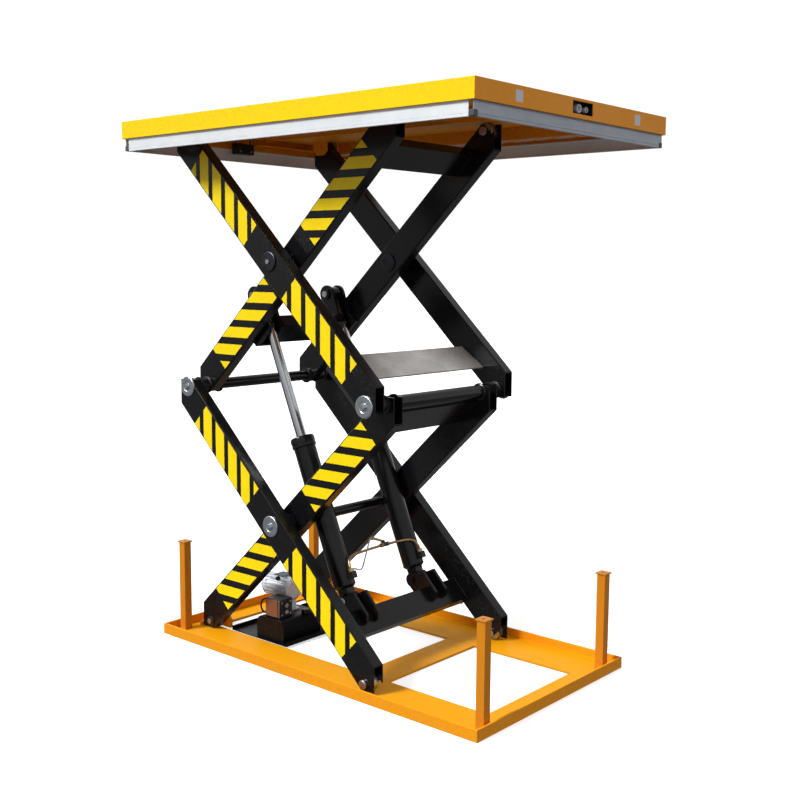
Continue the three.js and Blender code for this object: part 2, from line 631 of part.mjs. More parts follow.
// Four aluminium bars hang inside the skirts and rise when something is caught under them.
function tripFrame() {
  const { height, depth, inset, bottom, corner } = TRIP_BAR;
  const x = PLATFORM.length / 2 - inset;
  const y = PLATFORM.width / 2 - inset;
  const top = bottom + height;
  addPair(table, 'trip_bar', block(-x + corner, x - corner, -y, -y + depth, bottom, top), ALUMINIUM);
  // A corner block on each end of the cross bar, stepped back above its lower half.
  const step = 2;
  const waist = bottom + height / 2;
  const cornerBlock = join(
    block(x - corner + GAP, x, -y, -y + corner, bottom, waist),
    block(x - corner + GAP, x - step, -y + step, -y + corner - step, waist, top),
  );
  const bar = block(x - depth, x, -y + corner, y - corner, bottom, top);
  const end = join(bar, cornerBlock, mirrorY(cornerBlock));
  add(table, 'trip_bar_right', end, ALUMINIUM);
  add(table, 'trip_bar_left', end.mirror([1, 0, 0]), ALUMINIUM);
}

// ---------------------------------------------------------------- assembly
baseFrame();
posts();
baseLugs();
powerPack();
lowerInnerFrame();
lowerOuterFrame();
rollers();
upperOuterFrame();
upperInnerFrame();
cylinders();
platform();
tripFrame();

export default table;
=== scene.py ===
"""Double scissor lift table, raised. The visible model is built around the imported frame, in metres.

+X runs along the table towards the end where the arms roll, +Y goes to the far side, +Z is up.
Places and boxes are in metres. Turned profiles, nuts and the sizes in dictionaries without MM are in
millimetres, and scaled() takes them to metres.
"""

import json
import math
from itertools import product

import bmesh
import bpy
from mathutils import Matrix, Vector
from mathutils.geometry import convex_hull_2d

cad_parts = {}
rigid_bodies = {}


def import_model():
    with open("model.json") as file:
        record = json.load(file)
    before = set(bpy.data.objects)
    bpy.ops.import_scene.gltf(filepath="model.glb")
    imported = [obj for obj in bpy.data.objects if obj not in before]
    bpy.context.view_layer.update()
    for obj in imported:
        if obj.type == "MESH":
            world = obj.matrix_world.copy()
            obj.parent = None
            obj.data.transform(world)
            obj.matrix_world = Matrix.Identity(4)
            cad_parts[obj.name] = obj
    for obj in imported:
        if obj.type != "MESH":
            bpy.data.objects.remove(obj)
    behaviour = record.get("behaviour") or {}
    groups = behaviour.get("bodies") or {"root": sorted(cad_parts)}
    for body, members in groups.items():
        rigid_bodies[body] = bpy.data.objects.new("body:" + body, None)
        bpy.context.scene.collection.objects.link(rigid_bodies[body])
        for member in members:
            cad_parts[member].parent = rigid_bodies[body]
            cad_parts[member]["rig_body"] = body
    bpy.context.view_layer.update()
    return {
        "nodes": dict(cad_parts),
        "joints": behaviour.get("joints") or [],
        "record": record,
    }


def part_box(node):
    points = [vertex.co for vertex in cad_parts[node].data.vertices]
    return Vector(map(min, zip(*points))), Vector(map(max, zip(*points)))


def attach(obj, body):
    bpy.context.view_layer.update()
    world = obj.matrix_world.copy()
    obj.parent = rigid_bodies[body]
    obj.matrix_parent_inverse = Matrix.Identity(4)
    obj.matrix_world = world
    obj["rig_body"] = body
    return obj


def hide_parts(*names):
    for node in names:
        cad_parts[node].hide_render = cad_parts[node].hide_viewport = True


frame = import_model()

# ---------------- driving dimensions
MM = 0.001
NODE_SLOT = {row["node"]: row["material_slot"] for row in frame["record"]["subparts"]}
JOINT = {joint["name"]: joint for joint in frame["joints"]}

CAMERA = {"place": (2.8373, -3.1911, 1.5072), "yaw": 40.848, "pitch": -6.841, "roll": 0.382, "lens": 50.27}
ROOM = {"dim": 0.38, "right": 0.76, "ceiling": 0.54, "backdrop": 1.06, "below": 0.2}
KEY = {"from": (-0.30, -0.72, 0.62), "strength": 3.3, "angle": 16}

ARM_SKEW = 27.5 * MM             # how far an arm's bar stands off its pivot line at the ends
STICKER = {"from": 140 * MM, "to": 557 * MM, "half_width": 51.5 * MM, "thickness": 0.4 * MM}
STRIPE = {"first": 196 * MM, "pitch": 100.5 * MM, "outer": 68 * MM, "inner": 60 * MM}

PIN_RADIUS = 15
WASHER = {"radius": 40, "thickness": 6, "bolt_flats": 19}
CYLINDER_Y = 202 * MM
BARREL = {"radius": 42.5, "start": 46, "end": 652}   # along the cylinder from its lower pin
GLAND = {"radius": 47, "length": 42}
ROD = {"radius": 20, "start": 603}
EYE = {"radius": 30, "half_width": 21}
PORT_Z = 87
PIPE_RADIUS = 5 * MM

EDGE = 1.6 * MM                  # rounding of a folded or cut plate's edges
TUBE_EDGE = 300 * MM             # edges longer than this on an arm are the tube's corners
TUBE_RADIUS = 5.5 * MM
FACING = 0.7                     # a face looks along an axis when its normal has more than this of it
SIDES = (("near", -1), ("far", 1))


def joint_point(name):
    return Vector(JOINT[name]["pos_m"])


LOW_LEFT = joint_point("lift_fold")
LOW_CENTRE = joint_point("lower_scissor_pivot")
MID_RIGHT = joint_point("mid_right_pivot")
UP_CENTRE = joint_point("upper_scissor_pivot")
UP_LEFT = joint_point("platform_pivot")
MID_LEFT = Vector((LOW_LEFT.x, 0, MID_RIGHT.z))
LOW_RIGHT = Vector((MID_RIGHT.x, 0, LOW_LEFT.z))
UP_RIGHT = Vector((MID_RIGHT.x, 0, UP_LEFT.z))


# ---------------- shader helpers
class Nodes:
    """A node tree with short ways to add to it."""

    def __init__(self, tree, coordinates):
        self.tree = tree
        self.coordinates = self.add("ShaderNodeTexCoord").outputs[coordinates]

    def add(self, kind, inputs=None, **settings):
        """A new node. inputs holds a value, or another node's output, for its sockets."""
        node = self.tree.nodes.new(kind)
        for name, value in settings.items():
            setattr(node, name, value)
        for socket, value in (inputs or {}).items():
            if isinstance(value, bpy.types.NodeSocket):
                self.tree.links.new(value, node.inputs[socket])
            else:
                node.inputs[socket].default_value = value
        return node

    def ramp(self, value, low, high, from_value=0.0, to_value=1.0, **settings):
        """Maps value from low..high to from_value..to_value, clamped."""
        inputs = {"Value": value, "From Min": low, "From Max": high, "To Min": from_value, "To Max": to_value}
        return self.add("ShaderNodeMapRange", inputs, **settings).outputs["Result"]


class Shader(Nodes):
    """A small builder of one material's nodes."""

    def __init__(self, name, slot):
        self.material = bpy.data.materials.new(name)
        self.material.use_nodes = True
        self.material["slot"] = slot
        super().__init__(self.material.node_tree, "Object")
        self.surface = self.tree.nodes["Principled BSDF"].inputs

    def noise(self, scale, detail=3.0, roughness=0.5, stretch=None):
        """A noise value from 0 to 1. stretch holds a factor for each axis."""
        vector = self.coordinates
        if stretch:
            vector = self.add("ShaderNodeMapping", {"Vector": vector, "Scale": stretch}).outputs["Vector"]
        inputs = {"Vector": vector, "Scale": scale, "Detail": detail, "Roughness": roughness}
        return self.add("ShaderNodeTexNoise", inputs).outputs["Fac"]

    def times(self, first, second):
        return self.add("ShaderNodeMath", {0: first, 1: second}, operation="MULTIPLY").outputs["Value"]

    def mix(self, factor, first, second):
        """A colour between two colours, each of which is a tuple or another node's output."""
        ends = [(*color, 1.0) if isinstance(color, tuple) else color for color in (first, second)]
        return self.add("ShaderNodeMix", {0: factor, 6: ends[0], 7: ends[1]}, data_type="RGBA").outputs[2]

    def edges(self, low, high):
        """1 on convex edges and 0 elsewhere."""
        return self.ramp(self.add("ShaderNodeNewGeometry").outputs["Pointiness"], low, high)

    def bump(self, height, strength, distance):
        node = self.add("ShaderNodeBump", {"Height": height, "Strength": strength, "Distance": distance})
        self.tree.links.new(node.outputs["Normal"], self.surface["Normal"])

    def finish(self, color, roughness=None, **fixed):
        """The material, with fixed values for the sockets named, in which _ stands for a space."""
        self.tree.links.new(color, self.surface["Base Color"])
        if roughness:
            self.tree.links.new(roughness, self.surface["Roughness"])
        for name, value in fixed.items():
            self.surface[name.replace("_", " ")].default_value = value
        return self.material


def shade(color, factor):
    return tuple(min(1.0, c * factor) for c in color)


def paint(name, slot, color, worn, gloss=0.3, specular=0.35, wear=0.35, dusty=0.2):
    """Sprayed enamel: an even film with slight orange peel, faint scuffs, dust and rubbed edges."""
    s = Shader(name, slot)
    film = s.ramp(s.noise(1.6, 4.0, 0.6), 0.3, 0.7)
    base = s.mix(film, shade(color, 0.965), shade(color, 1.02))
    dust = s.ramp(s.noise(11.0, 6.0, 0.65), 0.58, 0.85, 0.0, dusty)
    base = s.mix(dust, base, shade(color, 0.86))
    rubbed = s.times(s.edges(0.52, 0.58), s.ramp(s.noise(70.0, 4.0, 0.7), 0.46, 0.66, 0.0, wear))
    base = s.mix(rubbed, base, worn)
    rough = s.ramp(s.noise(9.0, 5.0, 0.6), 0.3, 0.7, gloss * 0.85, gloss * 1.25)
    s.bump(s.noise(220.0, 2.0), 0.08, 0.0005)
    return s.finish(base, rough, Specular_IOR_Level=specular)


def metal(name, slot, color, dull, low, high, streak=None, metallic=1.0):
    """Bare or plated metal with dull patches and fine tool or draw marks."""
    s = Shader(name, slot)
    patch = s.ramp(s.noise(14.0, 5.0, 0.6), 0.35, 0.75)
    base = s.mix(patch, color, dull)
    marks = s.noise(120.0, 3.0, 0.6, streak) if streak else s.noise(260.0, 3.0, 0.6)
    rough = s.ramp(marks, 0.3, 0.7, low, high)
    s.bump(marks, 0.08, 0.0004)
    return s.finish(base, rough, Metallic=metallic)


def plastic(name, slot, color, gloss):
    """Moulded plastic or rubber with a fine grain."""
    s = Shader(name, slot)
    base = s.mix(s.ramp(s.noise(30.0, 5.0, 0.6), 0.3, 0.75), shade(color, 0.96), shade(color, 1.06))
    rough = s.ramp(s.noise(60.0, 3.0), 0.3, 0.7, gloss * 0.85, gloss * 1.15)
    s.bump(s.noise(900.0, 2.0), 0.15, 0.0004)
    return s.finish(base, rough, Specular_IOR_Level=0.3)


PRIMER = (0.26, 0.15, 0.07)
WORN_BLACK = (0.035, 0.035, 0.038)
ORANGE = paint("orange_enamel", "orange_paint", (0.86, 0.315, 0.006), PRIMER, gloss=0.4, specular=0.18)
# A lighter, more golden copy of the orange paint for the base's upper faces: painted light from above.
LIT_ORANGE = paint("painted_top_light_enamel", "orange_paint", (0.96, 0.40, 0.004), PRIMER, gloss=0.45,
                   specular=0.05)
# A darker copy of the orange paint for the rest posts under the deck: painted shade.
SHADED_POST_ORANGE = paint("shaded_post_enamel", "orange_paint", (0.62, 0.215, 0.008), PRIMER, gloss=0.4, specular=0.2)
YELLOW = paint("yellow_enamel", "yellow_paint", (0.97, 0.67, 0.001), PRIMER, specular=0.25, dusty=0.03)
BLACK = paint("black_enamel", "black_paint", (0.0045, 0.0045, 0.0055), WORN_BLACK, gloss=0.2)
TANK_BLACK = paint("tank_enamel", "black_paint", (0.0045, 0.0045, 0.0055), WORN_BLACK, gloss=0.35,
                   specular=0.12)
TREAD = metal("worn_tread_plate", NODE_SLOT["step_plate"], (0.62, 0.61, 0.59), (0.42, 0.415, 0.40), 0.26, 0.4,
              (1.0, 0.06, 1.0), metallic=0.35)
ZINC = metal("zinc_plate", "zinc_steel", (0.60, 0.63, 0.67), (0.38, 0.40, 0.43), 0.24, 0.42)
DARK_STEEL = metal("oiled_steel", "zinc_steel", (0.07, 0.07, 0.08), (0.03, 0.03, 0.035), 0.3, 0.5)
CHROME = metal("hard_chrome", "chrome", (0.72, 0.74, 0.77), (0.60, 0.62, 0.66), 0.07, 0.15, (1, 1, 9))
ALUMINIUM = metal("anodised_aluminium", "aluminium", (0.86, 0.90, 0.93), (0.78, 0.82, 0.85), 0.30, 0.46,
                  (0.05, 0.05, 2.0), metallic=0.25)
# A darker copy of the anodised aluminium for the right trip bar, the side away from the key: painted shade.
SHADED_ALUMINIUM = metal("shaded_end_bar_aluminium", "aluminium", (0.34, 0.37, 0.42), (0.28, 0.31, 0.36), 0.30, 0.46,
                         (2.0, 0.05, 2.0), metallic=0.4)
CAST = metal("cast_aluminium", "aluminium", (0.90, 0.94, 0.99), (0.66, 0.70, 0.78), 0.30, 0.5, metallic=0.3)
COPPER = metal("tarnished_pipe", "copper", (0.52, 0.31, 0.15), (0.24, 0.15, 0.08), 0.25, 0.45)
BRASS = metal("brass_fitting", "copper", (0.62, 0.46, 0.20), (0.40, 0.28, 0.13), 0.25, 0.42)
BROWN = plastic("brown_cover", "copper", (0.20, 0.075, 0.035), 0.42)
PLASTIC = plastic("black_plastic", "plastic", (0.009, 0.009, 0.010), 0.3)
GREY_PLASTIC = plastic("grey_plastic", "plastic", (0.07, 0.08, 0.10), 0.5)
PALE = plastic("pale_plate", "plastic", (0.60, 0.60, 0.66), 0.45)
HAZARD = plastic("hazard_film", "yellow_paint", (0.93, 0.68, 0.001), 0.36)


# ---------------- mesh helpers
def mesh_object(name, bm, material):
    mesh = bpy.data.meshes.new(name)
    bm.to_mesh(mesh)
    bm.free()
    mesh.materials.append(material)
    obj = bpy.data.objects.new(name, mesh)
    bpy.context.scene.collection.objects.link(obj)
    return obj


def piece(name, bm, body, material, replaces=()):
    """Makes the mesh an object that rides on a body and stands for the CAD nodes named."""
    bmesh.ops.recalc_face_normals(bm, faces=bm.faces)
    obj = mesh_object(name, bm, material)
    obj.data.shade_smooth()
    obj.data.set_sharp_from_angle(angle=math.radians(35))
    normals = obj.modifiers.new("normals", "WEIGHTED_NORMAL")
    normals.keep_sharp = True
    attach(obj, body)
    if replaces:
        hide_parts(*replaces)
    return obj


def round_edges(bm, width, segments=2, angle=30):
    sharp = [e for e in bm.edges if len(e.link_faces) == 2 and e.calc_face_angle() > math.radians(angle)]
    bmesh.ops.bevel(bm, geom=sharp, offset=width, offset_type="OFFSET", segments=segments, profile=0.5,
                    affect="EDGES", clamp_overlap=True)
    return bm


def refined(node, material, width=EDGE, segments=2, tube_radius=0.0):
    """A CAD node's shape with clean faces and rounded edges, shown in its place.

    tube_radius rounds the long outside edges of a rolled tube first.
    """
    bm = bmesh.new()
    bm.from_mesh(frame["nodes"][node].data)
    bmesh.ops.remove_doubles(bm, verts=bm.verts, dist=2e-5)
    bmesh.ops.dissolve_limit(bm, angle_limit=math.radians(0.5), verts=bm.verts, edges=bm.edges)
    if tube_radius:
        outer = [e for e in bm.edges if len(e.link_faces) == 2 and e.calc_length() > TUBE_EDGE
                 and e.calc_face_angle_signed() > math.radians(60)]
        bmesh.ops.bevel(bm, geom=outer, offset=tube_radius, offset_type="OFFSET", segments=4, profile=0.5,
                        affect="EDGES", clamp_overlap=False)
    round_edges(bm, width, segments)
    body = frame["nodes"][node]["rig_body"]
    return piece(f"{node}_shape", bm, body, material, (node,))


def pair(name):
    return (f"{name}_near", f"{name}_far")


def from_boxes(boxes, holes=()):
    """One closed mesh of axis-aligned boxes less the holes, each (x0, x1, y0, y1, z0, z1)."""
    cuts = []
    for a in range(3):
        cuts.append(sorted({round(value, 6) for b in (*boxes, *holes) for value in b[2 * a:2 * a + 2]}))

    def within(cell, solids):
        middle = [(cuts[a][cell[a]] + cuts[a][cell[a] + 1]) / 2 for a in range(3)]
        return any(all(b[2 * a] < middle[a] < b[2 * a + 1] for a in range(3)) for b in solids)

    cells = product(*(range(len(values) - 1) for values in cuts))
    filled = {cell for cell in cells if within(cell, boxes) and not within(cell, holes)}
    bm = bmesh.new()
    corners = {}
    for cell, axis, side in product(sorted(filled), range(3), (0, 1)):
        beside = list(cell)
        beside[axis] += 2 * side - 1
        if tuple(beside) in filled:
            continue
        face = []
        for steps in ((0, 0), (1, 0), (1, 1), (0, 1)):
            offset = list(steps)
            offset.insert(axis, side)
            index = tuple(c + o for c, o in zip(cell, offset))
            if index not in corners:
                corners[index] = bm.verts.new([cuts[a][index[a]] for a in range(3)])
            face.append(corners[index])
        bm.faces.new(face)
    bmesh.ops.recalc_face_normals(bm, faces=bm.faces)
    bmesh.ops.dissolve_limit(bm, angle_limit=math.radians(0.5), verts=bm.verts, edges=bm.edges)
    return bm


def soften(profile, radius, steps=3):
    """Rounds the inner corners of a profile of (radius, z) pairs."""
    points = [Vector(p) for p in profile]
    result = [points[0]]
    for before, here, after in zip(points, points[1:], points[2:]):
        reach = min(radius, (before - here).length * 0.45, (after - here).length * 0.45)
        start = here + (before - here).normalized() * reach
        end = here + (after - here).normalized() * reach
        for i in range(steps + 1):
            t = i / steps
            result.append(start * (1 - t) ** 2 + here * 2 * t * (1 - t) + end * t ** 2)
    result.append(points[-1])
    return [tuple(p) for p in result]


def lathe(profile, segments=48, ring=False):
    """A body of revolution about +Z. The profile runs from the axis to the axis, or is a closed ring."""
    bm = bmesh.new()
    rings = []
    for radius, z in profile:
        if radius < 1e-7:
            rings.append([bm.verts.new((0, 0, z))])
            continue
        turns = [2 * math.pi * i / segments for i in range(segments)]
        rings.append([bm.verts.new((radius * math.cos(t), radius * math.sin(t), z)) for t in turns])
    if ring:
        rings.append(rings[0])
    for a, b in zip(rings, rings[1:]):
        for i in range(segments):
            j = (i + 1) % segments
            if len(a) == 1:
                bm.faces.new((a[0], b[j], b[i]))
            elif len(b) == 1:
                bm.faces.new((a[i], a[j], b[0]))
            else:
                bm.faces.new((a[i], a[j], b[j], b[i]))
    return bm


def scaled(points):
    """Points in millimetres taken to metres."""
    return [tuple(value * MM for value in point) for point in points]


def turned(profile, soft=1.0, segments=32):
    """A solid of revolution from a profile in millimetres that is closed to the axis at both ends.

    soft rounds its corners.
    """
    closed = [(0, profile[0][1]), *profile, (0, profile[-1][1])]
    return lathe(soften(scaled(closed), soft * MM), segments)


def disc(radius, end, soft, segments=24, start=0):
    """A plain turned disc or bar along +Z from start to end, in millimetres."""
    return turned([(radius, start), (radius, end)], soft, segments)


def basis(origin, z_axis, y_axis=(0, 1, 0)):
    """The transform that takes +Z to z_axis and +Y near y_axis, and moves the origin."""
    z = Vector(z_axis).normalized()
    x = Vector(y_axis).cross(z).normalized()
    y = z.cross(x)
    return Matrix.Translation(Vector(origin)) @ Matrix((x, y, z)).transposed().to_4x4()


def across(x, y, z, sign=1):
    """The transform that lays a body of revolution along +Y, or -Y, from (x, y, z)."""
    return basis((x, y, z), (0, sign, 0), (0, 0, 1))


def facing_x(x, y, z, sign=1):
    """The transform that lays a body of revolution along +X, or -X, from (x, y, z)."""
    return basis((x, y, z), (sign, 0, 0))


def shifted(x, y, z):
    return Matrix.Translation((x, y, z))


def placed(bm, matrix):
    bm.transform(matrix)
    return bm


def joined(*meshes):
    """Several closed meshes in one."""
    whole = bmesh.new()
    for bm in meshes:
        part = bpy.data.meshes.new("part")
        bm.to_mesh(part)
        bm.free()
        whole.from_mesh(part)
        bpy.data.meshes.remove(part)
    return whole


def prism(outline, y0, y1, width=0.0):
    """An outline of (x, z) points between two places along Y, with its edges rounded."""
    bm = bmesh.new()
    ends = [[bm.verts.new((x, y, z)) for x, z in outline] for y in (y0, y1)]
    bm.faces.new(ends[0])
    bm.faces.new(ends[1][::-1])
    for i in range(len(outline)):
        j = (i + 1) % len(outline)
        bm.faces.new((ends[0][i], ends[1][i], ends[1][j], ends[0][j]))
    bmesh.ops.recalc_face_normals(bm, faces=bm.faces)
    if width:
        round_edges(bm, width)
    return bm


def spline(points, steps=8):
    """A smooth curve through the points."""
    p = [Vector(q) for q in points]
    p = [2 * p[0] - p[1], *p, 2 * p[-1] - p[-2]]
    curve = []
    for a, b, c, d in zip(p, p[1:], p[2:], p[3:]):
        for i in range(steps):
            t = i / steps
            curve.append(0.5 * (2 * b + (c - a) * t + (2 * a - 5 * b + 4 * c - d) * t * t
                                + (3 * b - a - 3 * c + d) * t ** 3))
    curve.append(p[-2])
    return curve


def sweep(path, radius, sides=12, closed=False, ripple=0.0):
    """A round bar along a path. ripple swells every third ring, as on a weld bead."""
    bm = bmesh.new()
    count = len(path)
    rings = []
    side_axis = None
    for i, point in enumerate(path):
        before = path[i - 1] if closed or i else point
        after = path[(i + 1) % count] if closed or i + 1 < count else point
        ahead = (after - before).normalized()
        if side_axis is None:
            side_axis = ahead.orthogonal().normalized()
        side_axis = (side_axis - ahead * side_axis.dot(ahead)).normalized()
        other = ahead.cross(side_axis)
        size = radius * (1 + ripple * (0.5 - (i % 3) / 2))
        turns = [2 * math.pi * k / sides for k in range(sides)]
        rings.append([bm.verts.new(point + (side_axis * math.cos(t) + other * math.sin(t)) * size)
                      for t in turns])
    spans = list(zip(rings, rings[1:]))
    if closed:
        spans.append((rings[-1], rings[0]))
    else:
        bm.faces.new(rings[0][::-1])
        bm.faces.new(rings[-1])
    for a, b in spans:
        for k in range(sides):
            m = (k + 1) % sides
            bm.faces.new((a[k], a[m], b[m], b[k]))
    return bm


def hexagon(across_flats, height):
    """A bolt head or nut on +Z with a chamfered top, in millimetres."""
    r = across_flats / math.sqrt(3)
    profile = [(0, 0), (r, 0), (r, height * 0.82), (r * 0.88, height), (0, height)]
    return round_edges(lathe(scaled(profile), 6), height * 0.05 * MM, 1)


# ---------------- pieces of common kinds
def put(name, bm, place, body, material, replaces=()):
    return piece(name, placed(bm, place), body, material, replaces)


def nut(name, across_flats, height, place, body, material=ZINC):
    """A nut, or the head of a bolt or screw, in millimetres."""
    put(name, hexagon(across_flats, height), place, body, material)


def plates(name, boxes, body, material, width=0.8, segments=1, holes=(), replaces=()):
    """One piece of boxes less the holes, in metres. width, in millimetres, rounds its edges."""
    bm = round_edges(from_boxes(boxes, holes), width * MM, segments)
    return piece(name, bm, body, material, replaces)


def span(origin, first, last):
    """Two places along an axis, in metres, from distances in millimetres off an origin."""
    return sorted((origin + first * MM, origin + last * MM))


# ---------------- weld beads
BEAD = {"pitch": 3.2 * MM, "radius": 2.6 * MM}


def bead_path(corners):
    """Points along the straight lines round the corners, one pitch apart."""
    path = []
    for start, end in zip(corners, corners[1:] + corners[:1]):
        steps = max(1, round((end - start).length / BEAD["pitch"]))
        path += [start.lerp(end, i / steps) for i in range(steps)]
    return path


def weld_round(node, axis, value, material):
    """A bead round the outline that a CAD node has in the plane where one coordinate is value."""
    u, v = [a for a in range(3) if a != axis]
    found = [w.co for w in frame["nodes"][node].data.vertices if abs(w.co[axis] - value) < 0.1 * MM]
    flat = [(p[u], p[v]) for p in found]
    corners = []
    for i in convex_hull_2d(flat):
        corner = Vector((0, 0, 0))
        corner[axis] = value
        corner[u], corner[v] = flat[i]
        corners.append(corner)
    corners = [c for i, c in enumerate(corners) if (c - corners[i - 1]).length > 1 * MM]
    bm = sweep(bead_path(corners), BEAD["radius"], 6, closed=True, ripple=0.22)
    side = "a" if value < 0 else "b"
    piece(f"{node}_weld_{side}", bm, frame["nodes"][node]["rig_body"], material)


# ---------------- base frame
def base_frame():
    """Angle steel whose upper faces carry a lighter, more golden copy of the paint as painted light from
    above, with four rest posts welded on in a darker copy of the paint as painted shade.
    """
    for node in (*pair("base_side"), "base_end_right", "base_end_left", "base_cross_member"):
        angle = refined(node, ORANGE, 2.0 * MM, 3)
        # Faces that look upwards take the lighter copy of the orange: painted light from above.
        angle.data.materials.append(LIT_ORANGE)
        for face in angle.data.polygons:
            if face.normal.z > FACING:
                face.material_index = 1
    for side, _ in SIDES:
        for end in ("left", "right"):
            node = f"post_{side}_{end}"
            # The posts take the darker copy of the orange: painted shade.
            refined(node, SHADED_POST_ORANGE, 1.2 * MM, 2)
            weld_round(node, 2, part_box(node)[0].z, SHADED_POST_ORANGE)


def base_pivots():
    """The lugs of the lower inner arms, with flanged pins held by a bolt on the outside."""
    head, flange, rim, back = 7, 12, 21, 5.7
    for side, sign in SIDES:
        refined(f"base_lug_{side}", ORANGE, 1.5 * MM)
        low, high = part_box(f"base_pin_{side}")
        length = (high.y - low.y) / MM
        pin = turned([(rim - 1.5, head), (rim, head + 1.5), (rim, flange), (PIN_RADIUS, flange),
                      (PIN_RADIUS, length - back), (rim, length - back), (rim, length)], 0.8, 40)
        place = across(LOW_LEFT.x, low.y if sign < 0 else high.y, LOW_LEFT.z, -sign)
        put(f"base_pin_{side}_turned", pin, place, "base", DARK_STEEL, (f"base_pin_{side}",))
        nut(f"base_pin_{side}_bolt", 19, head, place @ basis((0, 0, (head + 0.5) * MM), (0, 0, -1)), "base")


# ---------------- power pack
def power_pack():
    refined("pump_tray", TANK_BLACK, 0.8 * MM)
    oil_tank()
    base_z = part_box("oil_tank")[1].z
    valve_block(base_z)
    pump_motor(base_z)


def oil_tank():
    """The tank with its filler cap, two bolted feet and the seam between its halves."""
    low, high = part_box("oil_tank")
    middle = (low + high) / 2
    refined("oil_tank", TANK_BLACK, 2.5 * MM, 3)
    cap = turned([(19, 0), (19, 12), (15, 16)], 2, 24)
    put("filler_cap", cap, shifted(middle.x + 52 * MM, middle.y + 46 * MM, high.z), "base", PLASTIC)
    for i, offset in enumerate((-62 * MM, 62 * MM)):
        y = middle.y + offset
        foot = (*span(low.x, -16, 2), *span(y, -14, 14), *span(low.z, 0, 3))
        plates(f"tank_foot_{i}", [foot], "base", BLACK, segments=2)
        nut(f"tank_foot_bolt_{i}", 10, 5, shifted(low.x - 9 * MM, y, low.z + 3 * MM), "base")
    rim = (low.x - 2 * MM, high.x + 2 * MM, low.y - 2 * MM, high.y + 2 * MM, *span(middle.z, -6, -2))
    plates("tank_seam", [rim], "base", TANK_BLACK, 1, 2)


def valve_block(base_z):
    """A dark block with a brown cover on its near face, a coil on the left and a looped lead."""
    low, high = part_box("valve_block")
    left = low.x + 26 * MM
    near = low.y + 7 * MM
    plates("valve_body", [(left, high.x, near, high.y, base_z, high.z)], "base", DARK_STEEL, 1.5, 2,
           replaces=("valve_block",))
    cover = (left + 1 * MM, high.x - 7 * MM, low.y, near + 1 * MM, base_z + 3 * MM, high.z - 1 * MM)
    plates("valve_cover", [cover], "base", BROWN, 5, 3)
    corner = (*span(high.x, -6, -1), low.y + 4 * MM, near + 1 * MM, base_z + 2 * MM, high.z - 2 * MM)
    plates("valve_cover_clip", [corner], "base", ZINC, 1, 2)
    coil = turned([(12, 0), (12, 18), (7, 18), (7, 25)], 1.5)
    put("valve_coil", coil, facing_x(left, low.y + 39 * MM, base_z + 43 * MM, -1), "base", PLASTIC)
    for i, (dy, dz) in enumerate(((18, 14), (64, 14), (18, 64), (64, 64))):
        place = facing_x(high.x, low.y + dy * MM, base_z + dz * MM)
        nut(f"valve_screw_{i}", 8, 3, place, "base")
    for i, dz in enumerate((24 * MM, 50 * MM)):
        nut(f"valve_port_{i}", 17, 7, facing_x(high.x, low.y + 41 * MM, base_z + dz), "base")
    top = (high.z - base_z) / MM
    loop = scaled([(6, 0, top - 14), (-10, 0, top - 10), (-30, -3, top - 20), (-38, -4, top - 44),
                   (-28, -2, top - 66), (-10, 4, 6), (8, 10, 9)])
    lead = sweep(spline(loop), 3.5 * MM)
    put("coil_lead", lead, shifted(left, low.y + 16 * MM, base_z), "base", PLASTIC)


MOTOR = {"root": 36, "fin": 47, "axis_below_top": 53, "cover": 20, "shield": 16, "fins": 18}


def pump_motor(base_z):
    """A finned motor along X: fan cowl, ribbed body, end shield, terminal box, foot and tie rods."""
    low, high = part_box("pump_motor")
    y = (low.y + high.y) / 2
    z = high.z - MOTOR["axis_below_top"] * MM
    length = (high.x - low.x) / MM
    motor_body(low.x, y, z, length)
    terminal_box(low.x, y, z, high.z)
    rise = (z - base_z) / MM - 30
    foot = scaled([(92, 0), (length, 0), (length, 7), (length - 18, 7), (length - 24, rise), (112, rise),
                   (106, 7), (92, 7)])
    bracket = prism(foot, *span(y, -26, 26), 1.2 * MM)
    put("motor_foot", bracket, shifted(low.x, 0, base_z), "base", CAST)
    reach = MOTOR["fin"] * 0.985 * MM
    for i, turn in enumerate((0.8, 2.35, 3.9, 5.5)):
        place = facing_x(high.x - 14 * MM, y + reach * math.cos(turn), z + reach * math.sin(turn), -1)
        put(f"motor_tie_{i}", disc(3, length - 60, 0.5, 12), place, "base", ZINC)


def motor_body(x, y, z, length):
    """The cowl and shield at the motor's ends, the ribs between them and the cowl's vents."""
    fin, cover = MOTOR["fin"], MOTOR["cover"]
    shield = length - MOTOR["shield"]
    cowl = turned([(34, 0), (fin, 9), (fin, cover - 10), (fin - 3, cover - 8), (fin - 3, cover)], 2, 56)
    end = turned([(fin, shield), (fin, length - 5), (36, length)], 1.5, 56)
    along_x = basis((x, y, z), (1, 0, 0), (0, 0, 1))
    put("motor_ends", joined(cowl, end), along_x, "base", CAST, ("pump_motor",))
    outline = []
    for i in range(MOTOR["fins"]):
        for offset, size in ((-0.11, MOTOR["root"]), (-0.08, fin), (0.08, fin), (0.11, MOTOR["root"])):
            turn = 2 * math.pi * i / MOTOR["fins"] + offset
            outline.append((size * math.cos(turn), size * math.sin(turn)))
    ribs = prism(scaled(outline), cover * MM, shield * MM)
    put("motor_ribs", ribs, basis((x, y, z), (0, 0, 1), (1, 0, 0)), "base", CAST)
    for i in range(8):
        turn = math.pi * i / 4 + 0.3
        place = (x + 4.5 * MM, y + 20 * MM * math.cos(turn), z + 20 * MM * math.sin(turn))
        put(f"motor_vent_{i}", disc(3.2, 2.5, 0.5, 16), facing_x(*place, -1), "base", PLASTIC)


